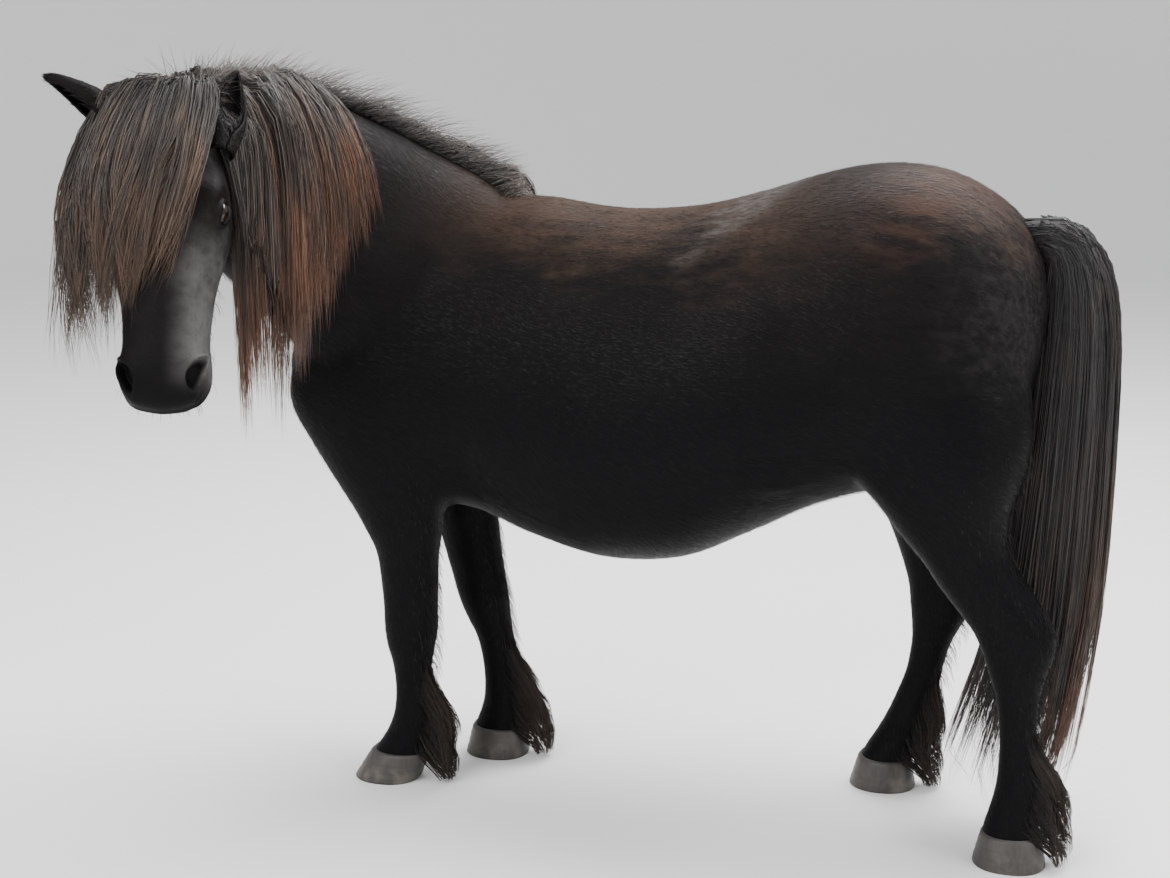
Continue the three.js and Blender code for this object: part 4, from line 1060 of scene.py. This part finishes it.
def hair(name, paths, facing, width, thickness, material, swell=0.5, lit=None, bleach=1.0):
    """Closed three-sided strands along paths, in pieces under the triangle limit. A
    ring has two corners half a width to either side and one a thickness outwards;
    the width is width x (swell + (1 - swell) sin) x (1 - f cubed), f from root to tip.
    Along and Tone hold f and a number of the strand; OFBake holds its root's place.
    Strands that lie flat are lit as the hide under them, in the directions of lit;
    bleach scales Along, so that some strands turn rusty sooner."""
    number, rows, _ = paths.shape
    width, thickness, bleach = (np.broadcast_to(v, number) for v in (width, thickness, bleach))
    way = unit(np.gradient(paths, axis=1))
    side = unit(np.cross(way, facing))
    up = np.cross(side, way)
    f = np.arange(rows - 1) / (rows - 1)
    shape = (swell + (1 - swell) * np.sin(np.minimum(1, 2.5 * f) * pi / 2)) * (1 - f ** 3)
    w = (width[:, None] * shape)[..., None] / 2
    h = (thickness[:, None] * (1 - 0.6 * f))[..., None]
    body = paths[:, :-1]
    rings = np.stack([body - side[:, :-1] * w, body + side[:, :-1] * w, body + up[:, :-1] * h], 2)
    corners = 3 * (rows - 1) + 1
    points = np.concatenate([rings.reshape(number, -1, 3), paths[:, -1:]], 1)
    j, c = np.meshgrid(np.arange(rows - 2), np.arange(3), indexing="ij")
    n = (c + 1) % 3
    low, high = j * 3, j * 3 + 3
    pattern = np.concatenate([
        np.stack([low + c, high + c, high + n], -1).reshape(-1, 3),
        np.stack([low + c, high + n, low + n], -1).reshape(-1, 3),
        [[3 * (rows - 2) + k, corners - 1, 3 * (rows - 2) + (k + 1) % 3] for k in range(3)],
        [[0, 1, 2]],
    ])
    chart = unwrap(paths[:, 0])
    step = np.append(np.repeat(f, 3), 1.0)
    aside = np.append(np.tile([0, 1, 0.5], rows - 1), 0.5)
    patch = np.stack([aside, step], 1) * 0.003
    tone = random.random(number)
    each = TRIANGLE_LIMIT // len(pattern)
    for first in range(0, number, each):
        chosen = slice(first, min(first + each, number))
        count = chosen.stop - chosen.start
        triangles = (pattern[None] + (np.arange(count) * corners)[:, None, None]).reshape(-1, 3)
        mesh = bpy.data.meshes.new(f"{name}_{first // each + 1}")
        mesh.vertices.add(count * corners)
        mesh.vertices.foreach_set("co", metres(points[chosen].reshape(-1, 3)).ravel())
        mesh.loops.add(len(triangles) * 3)
        mesh.loops.foreach_set("vertex_index", triangles.ravel().astype(np.int32))
        mesh.polygons.add(len(triangles))
        mesh.polygons.foreach_set("loop_start", np.arange(0, len(triangles) * 3, 3, dtype=np.int32))
        mesh.update(calc_edges=True)
        mesh.shade_smooth()
        if lit is not None:
            directions = np.repeat(lit[chosen], corners, 0)
            mesh.normals_split_custom_set_from_vertices(directions.tolist())
        flat = (chart[chosen][:, None] + patch[None]).reshape(-1, 2)
        mesh.uv_layers.new(name="OFBake").data.foreach_set("uv", flat[triangles.ravel()].ravel())
        point_values(mesh, Along=step[None] * bleach[chosen][:, None],
                     Tone=np.repeat(tone[chosen], corners))
        mesh.materials.append(material)
        piece = bpy.data.objects.new(mesh.name, mesh)
        bpy.context.scene.collection.objects.link(piece)
        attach(piece, "root")


def hair_paint(name, root, middle, tip, grey, roughness, gloss=0.45):
    """Material of long hair: dark at the root, bleached towards the tip, each strand of
    its own tone from black to ash, broken up by patches that several strands share."""
    material, tree, shader = paint(name, root, roughness)
    f, tone = point_value(tree, "Along"), point_value(tree, "Tone")
    patches = noise(tree, own_place(tree), 22.0, 2.0, (1, 1, 0.35))
    shift = times(tree, shade(tree, "SUBTRACT", patches, 0.5), 1.1)
    own_shift = times(tree, shade(tree, "SUBTRACT", tone, 0.5), 0.5)
    shifted = plus(tree, f, plus(tree, shift, own_shift))
    colour = blend(tree, step_up(tree, shifted, 0.05, 0.55), root, middle)
    colour = blend(tree, step_up(tree, shifted, 0.5, 1.05), colour, tip)
    ash = times(tree, step_up(tree, tone, 0.72, 0.98), 0.6)
    colour = blend(tree, ash, colour, grey)
    tree.links.new(colour, shader.inputs["Base Color"])
    shader.inputs["Specular IOR Level"].default_value = gloss
    shader.inputs["Sheen Weight"].default_value = 0.05
    return material


mane_paint = hair_paint(
    "mane_hair", root=(0.012, 0.009, 0.008), middle=(0.038, 0.023, 0.017),
    tip=(0.17, 0.062, 0.026), grey=(0.15, 0.115, 0.09), roughness=0.5,
)
MANE = [
    # locks, from and to along the neck, side, angle up from that side, rise, fall,
    # length from and to, lift, lean
    (72, 0.8, 0.62, 1, 90, 0.15, 0.5, 530, 260, 2, 0.0),
    (56, 0.76, 0.61, 1, 90, 0.4, 0.42, 500, 250, 12, 0.1),
    (34, 0.97, 0.78, 1, 52, 0.0, 0.6, 440, 470, 3, 0.0),
    (16, 0.88, 0.79, 1, 90, 0.3, 0.5, 260, 300, 4, -0.5),
    (66, 1.0, 0.12, -1, 90, 1.0, 0.3, 320, 200, 5, 0.05),
    (38, 0.95, 0.16, -1, 90, 1.1, 0.34, 240, 150, 14, -0.2),
]
paths, spreads = [], []
for count, start, end, way, angle, rise, fall, long, short, lift, lean in MANE:
    f = (np.arange(count) + random.random(count)) / count
    t = start + (end - start) * f ** 1.15
    centre, ahead, side, up = neck_frame(t)
    high, wide = np.sin(radians(angle)), np.cos(radians(angle)) * way
    root = centre + up * ((along(NECK, 3, t) - 12) * high)[:, None]
    aside = (along(NECK, 5, t) - 8) * wide + 7 * random.standard_normal(count)
    root = root + side * aside[:, None]
    heading = side * (way * (0.6 + 0.6 * random.random(count)))[:, None] + up * rise
    heading = heading + ahead * (lean + 0.34 * (random.random(count) - 0.5))[:, None]
    length = (long + (short - long) * f) * (0.66 + 0.44 * random.random(count) ** 0.7)
    paths.append(drape(root, heading, length, 18, fall, lift + 7 * random.random(count)))
    spreads.append(9 + 9 * random.random(count))
path = np.concatenate(paths)
spread = np.concatenate(spreads)
strands, facing = locks_of(path, outward(path), 24, spread, 9, (0.62, 1.0), 0.5, 6.0)
width = 1.2 + 0.9 * random.random(len(strands))
hair("mane", strands, facing, width, 0.9, mane_paint)

# Upright fringe of the crest: short strands that stand up and lean back, and at the
# poll lean forwards over the roots of the forelock.
count = 5000
t = random.random(count) ** 0.85
centre, ahead, side, up = neck_frame(t)
root = centre + up * (along(NECK, 3, t) - 6)[:, None]
root = root + side * (13 * random.standard_normal(count))[:, None]
at_poll = ramp(t, 0.84, 0.97)
heading = up * (1 - 0.75 * ramp(t, 0.8, 0.95))[:, None]
heading = heading - side * (0.25 + 0.45 * random.standard_normal(count))[:, None]
heading = heading - ahead * ((0.2 + 0.6 * random.random(count)) * (1 - 2.2 * at_poll))[:, None]
length = (22 + 66 * random.random(count)) * (0.3 + 1.1 * ramp(t, 0.0, 0.35))
length = length * (1 - 0.3 * ramp(t, 0.6, 0.85)) * (1 + 0.25 * at_poll)
path = drape(root, heading, length, 3, 0.16, 0.0)
crest_paint = hair_paint(
    "crest_hair", root=(0.008, 0.007, 0.0065), middle=(0.028, 0.021, 0.017),
    tip=(0.10, 0.075, 0.06), grey=(0.13, 0.105, 0.09), roughness=0.55,
)
hair("crest_fringe", path, outward(path), 0.9, 0.6, crest_paint)


# Forelock: locks from between the ears that sweep over the forehead to the pony's right
# and hide that eye; the nearest ones cross the forehead low and late.
def over_face(s, l, lift):
    """Point s down the face and l to the left, lifted off it; beyond the side of the
    head it stays at the widest level."""
    t = place_of(HEAD, s)
    level = along(HEAD, 3, t)
    reach = along(HEAD, 1, t) - level + lift
    outwards = np.minimum(np.abs(l) / np.maximum(along(HEAD, 4, t) + lift, 1), 1)
    return head_point(s, level + reach * (1 - outwards ** 2.4) ** (1 / 2.4), l)


def forelock_path(p, lift, length, rows, stand, sway):
    """Sweep of a lock at place p, 0 beside the left ear to 1 outermost. It goes from
    l = 48 - 58 p to -35 - 80 p as k to a power that falls with p, less an arch of
    68 p, the first ones bowing out under the ear; it rises 42 back over the poll and
    stands off the face in a dome of 46 times stand, and sway bends its lower half."""
    k = np.linspace(0, 1, rows)[None]
    p, lift, length, stand, sway = (v[:, None] for v in (p, lift, length, stand, sway))
    start, end = 48 - 58 * p, -35 - 80 * p
    l = start + (end - start) * k ** (5.0 * 9.0 ** -p) - 68 * p * np.sin(pi * k) ** 0.8
    l = l + 22 * (1 - p) ** 3 * np.sin(pi * np.minimum(1, 1.25 * k))
    l = l + sway * k ** 2 * np.sin(pi * k * 1.3 + 0.6)
    s = -12 + (268 + 100 * p) * length * k ** 1.6 - 42 * np.sin(pi * np.minimum(1, 2 * k))
    dome = 46 * stand * (1 - 0.75 * k) * np.sin(pi * np.minimum(1, 0.8 * k + 0.15))
    height = (lift + dome) * ramp(k, -0.02, 0.1) - 10 * (1 - ramp(k, 0, 0.1))
    return over_face(s, l, height)


forelock_paint = hair_paint(
    "forelock_hair", root=(0.010, 0.008, 0.0075), middle=(0.034, 0.023, 0.018),
    tip=(0.115, 0.062, 0.035), grey=(0.11, 0.085, 0.068), roughness=0.5,
)
count = 105
p = 0.95 * (np.arange(count) + random.random(count)) / count
stand = 0.25 + 0.8 * random.random(count) ** 0.5
lift = 20 * random.random(count) - 8
length = 0.76 + 0.34 * random.random(count)
sway = 20 * random.standard_normal(count)
path = forelock_path(p, lift, length, 18, stand, sway)
spread = 7 + 7 * random.random(count)
forwards = np.broadcast_to(FRONT, path.shape)
strands, facing = locks_of(path, forwards, 30, spread, 9, (0.68, 1.0), 0.42, 7.0)
width = 1.1 + 0.8 * random.random(len(strands))
hair("forelock", strands, facing, width, 0.8, forelock_paint)

# Tail: a short fleshy dock with a full fall of hair to the ground, black within and
# rusty over the top and down its rear edge.
TAIL = [
    # back, height, half depth, half width
    [462, 898, 30, 30], [514, 903, 32, 32], [546, 884, 38, 36], [560, 840, 50, 41],
    [566, 760, 58, 47], [563, 640, 65, 50], [557, 520, 71, 50], [549, 400, 77, 52],
    [539, 300, 81, 56], [521, 200, 91, 60], [501, 110, 101, 62], [484, 36, 105, 56],
]


def tail_point(t, a, size):
    """Place in the tail at t along it: the middle line, set off across it by its half
    depth times cos a and sideways by its half width times sin a, both times size."""
    def middle(place):
        """Middle line of the tail."""
        return np.stack([along(TAIL, 0, place), 0 * place, along(TAIL, 1, place)], -1)
    way = unit(middle(t + 0.005) - middle(t - 0.005))
    outer = np.stack([-way[..., 2], 0 * t, way[..., 0]], -1)
    return (middle(t) + outer * (along(TAIL, 2, t) * size * np.cos(a))[..., None]
            + np.array([0, 1.0, 0]) * (along(TAIL, 3, t) * size * np.sin(a))[..., None])


tail_paint = hair_paint(
    "tail_hair", root=(0.006, 0.0055, 0.006), middle=(0.016, 0.011, 0.009),
    tip=(0.10, 0.04, 0.02), grey=(0.05, 0.042, 0.038), roughness=0.45,
)
# Core: the dark depth of the fall behind its strands.
t, a = all_round(np.linspace(0, 0.8, 60), 32)
rings = tail_point(t, a, 0.76 - 0.5 * ramp(t, 0.45, 0.8))
points, faces = closed_shell(rings, [455, 0, 896], tail_point(np.array(0.82), np.array(0.0), 0))
core_paint, _, _ = paint("hair_depth", (0.008, 0.006, 0.006), 0.8)
core = mesh_object("tail_core", metres(points), faces, core_paint)
outwards(core)
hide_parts("tail")
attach(core, "root")
# Strands: locks that start down the dock and end near the floor.
count = 150
a = 2 * pi * random.random(count)
first = 0.3 * random.random(count) ** 1.4
last = 0.88 + 0.14 * random.random(count)
inner = 0.55 * random.random((count, 1)) ** 2
k = np.linspace(0, 1, 22)[None]
t = first[:, None] + (last - first)[:, None] * k
size = (0.66 + 0.27 * random.random(count) + 0.2 * np.maximum(0, -np.cos(a)))[:, None]
size = size * (0.85 + 0.15 * ramp(k, 0, 0.15)) * (1 - inner * ramp(k, 0.6, 1))
path = tail_point(t, a[:, None] + 0.25 * k * random.standard_normal((count, 1)), size)
facing = unit(path - tail_point(t, 0 * t, 0))
spread = 8 + 7 * random.random(count)
strands, facing = locks_of(path, facing, 26, spread, 10, (0.7, 1.0), 0.45, 5.0)
strands[..., 2] = np.maximum(strands[..., 2], 5)
rear = np.repeat(0.55 + 0.6 * np.maximum(0, np.cos(a)), 26)
width = 1.3 + 0.9 * random.random(len(strands))
hair("tail_strands", strands, facing, width, 0.9, tail_paint, bleach=rear)

# Feather: long hair behind and round each fetlock, hanging over the heel almost to the
# floor, black like the legs and a little bleached at the tips.
FEATHER = [
    # height, middle behind the leg's rear line, reach back, half width
    [198, -12, 8, 8], [176, -4, 12, 14], [140, 6, 18, 20], [100, 13, 22, 26],
    [66, 20, 25, 29], [38, 27, 22, 27], [16, 31, 15, 20],
]
feather_paint = hair_paint(
    "feather_hair", root=(0.008, 0.007, 0.007), middle=(0.018, 0.013, 0.010),
    tip=(0.045, 0.028, 0.020), grey=(0.018, 0.015, 0.013), roughness=0.65, gloss=0.08,
)


def feather_point(table, z, a, size):
    """Place in the feather at a height: behind the leg's rear line by the bunch's
    middle, set off by its reach times cos a and its half width times sin a."""
    leg = place_of(table, np.maximum(z, 50))
    t = place_of(FEATHER, z)
    x = along(table, 2, leg) + along(FEATHER, 1, t) + along(FEATHER, 2, t) * size * np.cos(a)
    y = along(table, 3, leg) + along(FEATHER, 3, t) * size * np.sin(a)
    return np.stack([x, y, z + 0 * x], -1)


for name, table in LEGS.items():
    count = 110
    a = random.uniform(-2.0, 2.0, count)[:, None]
    top = random.uniform(60, 205, count)[:, None]
    k = np.linspace(0, 1, 12)[None]
    long = random.uniform(60, 120, count)[:, None]
    z = np.maximum(top - long * k, 6 + 6 * random.random((count, 1)))
    leg = place_of(table, np.maximum(z, 50))
    half_x = (along(table, 2, leg) - along(table, 1, leg)) / 2
    on_leg = np.stack([along(table, 1, leg) + half_x + (half_x - 4) * np.cos(a * 0.6),
                       along(table, 3, leg) + (along(table, 4, leg) - 4) * np.sin(a * 0.6), z], -1)
    share = ramp(k, -0.1, 0.6)[..., None]
    size = 0.6 + 0.45 * random.random((count, 1))
    path = on_leg * (1 - share) + feather_point(table, z, a, size) * share
    facing = unit(np.stack([np.cos(a) + 0 * z, np.sin(a) + 0 * z, 0 * z], -1))
    spread = 6 + 4 * random.random(count)
    strands, facing = locks_of(path, facing, 9, spread, 6, (0.6, 1.0), 0.1, 1.0)
    strands[..., 2] = np.maximum(strands[..., 2], 3)
    width = 1.0 + 0.7 * random.random(len(strands))
    hair(f"feather_{name}", strands, facing, width, 0.7, feather_paint)

# Fringes: the longer hair that a summer coat keeps behind forearm, cannon and gaskin and
# under the jaw and chin.
for name, table in LEGS.items():
    count = 700
    z = random.uniform(150, 620, count)
    leg = place_of(table, z)
    a = 0.62 * random.standard_normal(count)
    front, rear = along(table, 1, leg), along(table, 2, leg)
    root = leg_point(table, leg, a, -2.5)
    facing = [np.cos(a) * (rear - front) / 2, np.sin(a) * along(table, 4, leg), 0 * z]
    facing = unit(np.stack(facing, 1))
    long = random.uniform(16, 36, count) * (0.6 + 0.6 * ramp(-z, -420, -200)) * np.exp(-a ** 2)
    k = np.linspace(0, 1, 4)[None, :, None]
    facing = np.repeat(facing[:, None], 4, 1)
    path = root[:, None] + (facing * 0.42 * np.sqrt(k) + DOWNWARDS * k) * long[:, None, None]
    path = path + random.standard_normal((count, 1, 3)) * k * 2
    hair(f"leg_fringe_{name}", path, facing, 0.8, 0.5, feather_paint, bleach=0.5)
count = 900
s = random.uniform(40, 396, count)
a = -pi / 2 + 0.5 * random.standard_normal(count)
t = place_of(HEAD, s)
root = head_section(t, a, -2.0)
facing = unit(root - head_point(s, along(HEAD, 3, t), 0))
long = random.uniform(9, 22, count) * (1 + 0.5 * ramp(-s, -200, -60))
k = np.linspace(0, 1, 4)[None, :, None]
facing = np.repeat(facing[:, None], 4, 1)
way = facing * 0.5 * np.sqrt(k) + unit(DOWN * 0.5 + DOWNWARDS) * k
path = root[:, None] + way * long[:, None, None]
hair("jaw_hair", path, facing, 0.7, 0.4, feather_paint, bleach=0.5)

# Short coat: the summer coat as fine pointed tufts over the hide. They follow the lie
# of the hair, back and down over the trunk, down the legs and down the face, and are
# longest on the neck and under the belly and shortest on the face.
TUFTS = 135000
tuft_paint, tuft_tree, tuft_shader = paint("short_coat", BLACK, 0.36)
_, colour = coat_colour(tuft_tree)
lighter = step_up(tuft_tree, point_value(tuft_tree, "Tone"), 0.55, 1.0)
colour = blend(tuft_tree, times(tuft_tree, lighter, 0.07), colour, (0.035, 0.028, 0.024))
tuft_tree.links.new(colour, tuft_shader.inputs["Base Color"])
tuft_shader.inputs["Specular IOR Level"].default_value = 0.1
mesh = body.data
mesh.calc_loop_triangles()
corners = read(mesh.loop_triangles, "vertices", 3, np.int32)
points, normals = read_points(mesh), read_normals(mesh)
p, q, r = (points[corners[:, k]] for k in range(3))
middles = (p + q + r) / 3
area = np.linalg.norm(np.cross(q - p, r - p), axis=1) / 2
# They stand closer on the face and on the lower legs.
face = (middles[:, 1] < -330) & (in_head(middles)[0] > 0)
area = area * np.where(face, 2.4, 1.0) * np.where((middles[:, 2] < 480) & ~face, 1.6, 1.0)
chosen = np.searchsorted(np.cumsum(area) / area.sum(), random.random(TUFTS))
chosen = np.minimum(chosen, len(corners) - 1)
u, v = random.random((2, TUFTS, 1))
u, v = np.where(u + v > 1, 1 - u, u), np.where(u + v > 1, 1 - v, v)
tri = corners[chosen]
root = points[tri[:, 0]] * (1 - u - v) + points[tri[:, 1]] * u + points[tri[:, 2]] * v
normal = unit(normals[tri[:, 0]] * (1 - u - v) + normals[tri[:, 1]] * u + normals[tri[:, 2]] * v)
s, f, _ = in_head(root)
face = ramp(-root[:, 1], 300, 360) * ramp(s, -20, 40) * ramp(f, -190, -90)
neck = (1 - face) * ramp(-root[:, 0], 430, 560) * ramp(root[:, 2], 640, 760)
leg = 1 - ramp(root[:, 2], 380, 560)
lie = np.array([0.9, 0, -0.3]) + np.array([-0.2, 0.75, -0.45]) * neck[:, None]
lie = lie * (1 - leg)[:, None] + np.array([0.12, 0, -1.0]) * leg[:, None]
lie = lie * (1 - face)[:, None] + (DOWN - FRONT * 0.1) * face[:, None]
swirl = np.sin(root / 41 + np.roll(root, 1, 1) / 67) * 0.12
lie = lie + swirl + 0.1 * random.standard_normal(lie.shape)
lie = unit(lie - normal * (lie * normal).sum(1)[:, None])
raise_share = 0.07 + 0.07 * random.random(TUFTS)
long = (11 + 8 * random.random(TUFTS)) * (1 - 0.5 * face) * (1 - 0.25 * leg)
long = long * (1 - 0.4 * face * ramp(s, 300, 380))
under = ramp(-normal[:, 2], 0.3, 0.9) * (1 - face) * (1 - leg)
long = long * (1 + 0.6 * under + 0.5 * neck)
raise_share = raise_share * (1 + under)
bare = face * ramp(s, 330, 396)
shallow = read(mesh.attributes["Hollow"].data, "value", 1, np.float32)[tri[:, 0], 0] < 0.2
keep = (random.random(TUFTS) > bare) & (root[:, 2] > HOOF_HEIGHT + 2) & shallow
root, normal, lie = root[keep], normal[keep], lie[keep]
long, raise_share, face = long[keep], raise_share[keep], face[keep]
k = np.array([0, 1.0])[None, :, None]
path = root[:, None] - normal[:, None] * 0.7 + lie[:, None] * k * long[:, None, None]
path = path + normal[:, None] * k * (raise_share * long + 0.7)[:, None, None]
lit = unit(normal + 0.07 * random.standard_normal(normal.shape))
facing = np.repeat(normal[:, None], 2, 1)
width = 1.3 * (1 - 0.35 * face)
hair("short_coat", path, facing, width, 0.24, tuft_paint, 0.9, lit)

# Hair of the ears: their own short hair outside, and longer hair inside their rims.
for side in EARS:
    for name, count, low, high, wide, depth in (
        ("back", 1500, 0.0, 1.0, 1.0, 1.2),
        ("inside", 420, 0.1, 0.85, 0.98, -1.2),
    ):
        t = random.uniform(low, high, count)
        a = random.uniform(-wide, wide, count)
        if name == "inside":
            a = np.sign(a) * (1 - 0.4 * np.abs(a) ** 2)
        root = ear_point(side, t, a)
        place, axis, opening, _ = ear_frame(side)
        upwards = ear_point(side, np.minimum(t + 0.02, 1.0), a) - ear_point(side, t - 0.02, a)
        around = ear_point(side, t, a + 0.02) - ear_point(side, t, a - 0.02)
        upwards, around = unit(upwards), unit(around)
        normal = unit(np.cross(around, upwards))
        middle = place + axis * along(EAR, 0, t)[:, None]
        normal = normal * np.sign((normal * (root - middle)).sum(1))[:, None]
        if name == "inside":
            way = unit(axis * 0.7 + opening * 0.5 - normal * 0.5)
            long = random.uniform(10, 22, count)
        else:
            way = unit(upwards + normal * 0.1)
            long = random.uniform(5, 9, count)
        way = unit(way + 0.15 * random.standard_normal(way.shape))
        k = np.array([0, 0.5, 1.0])[None, :, None]
        path = (root + normal * depth)[:, None] + way[:, None] * k * long[:, None, None]
        facing = np.repeat(normal[:, None], 3, 1)
        hair(f"ear_{side}_{name}", path, facing, 0.8, 0.4, tuft_paint)

# Size: the box round the finished pony, in metres.
low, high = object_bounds()
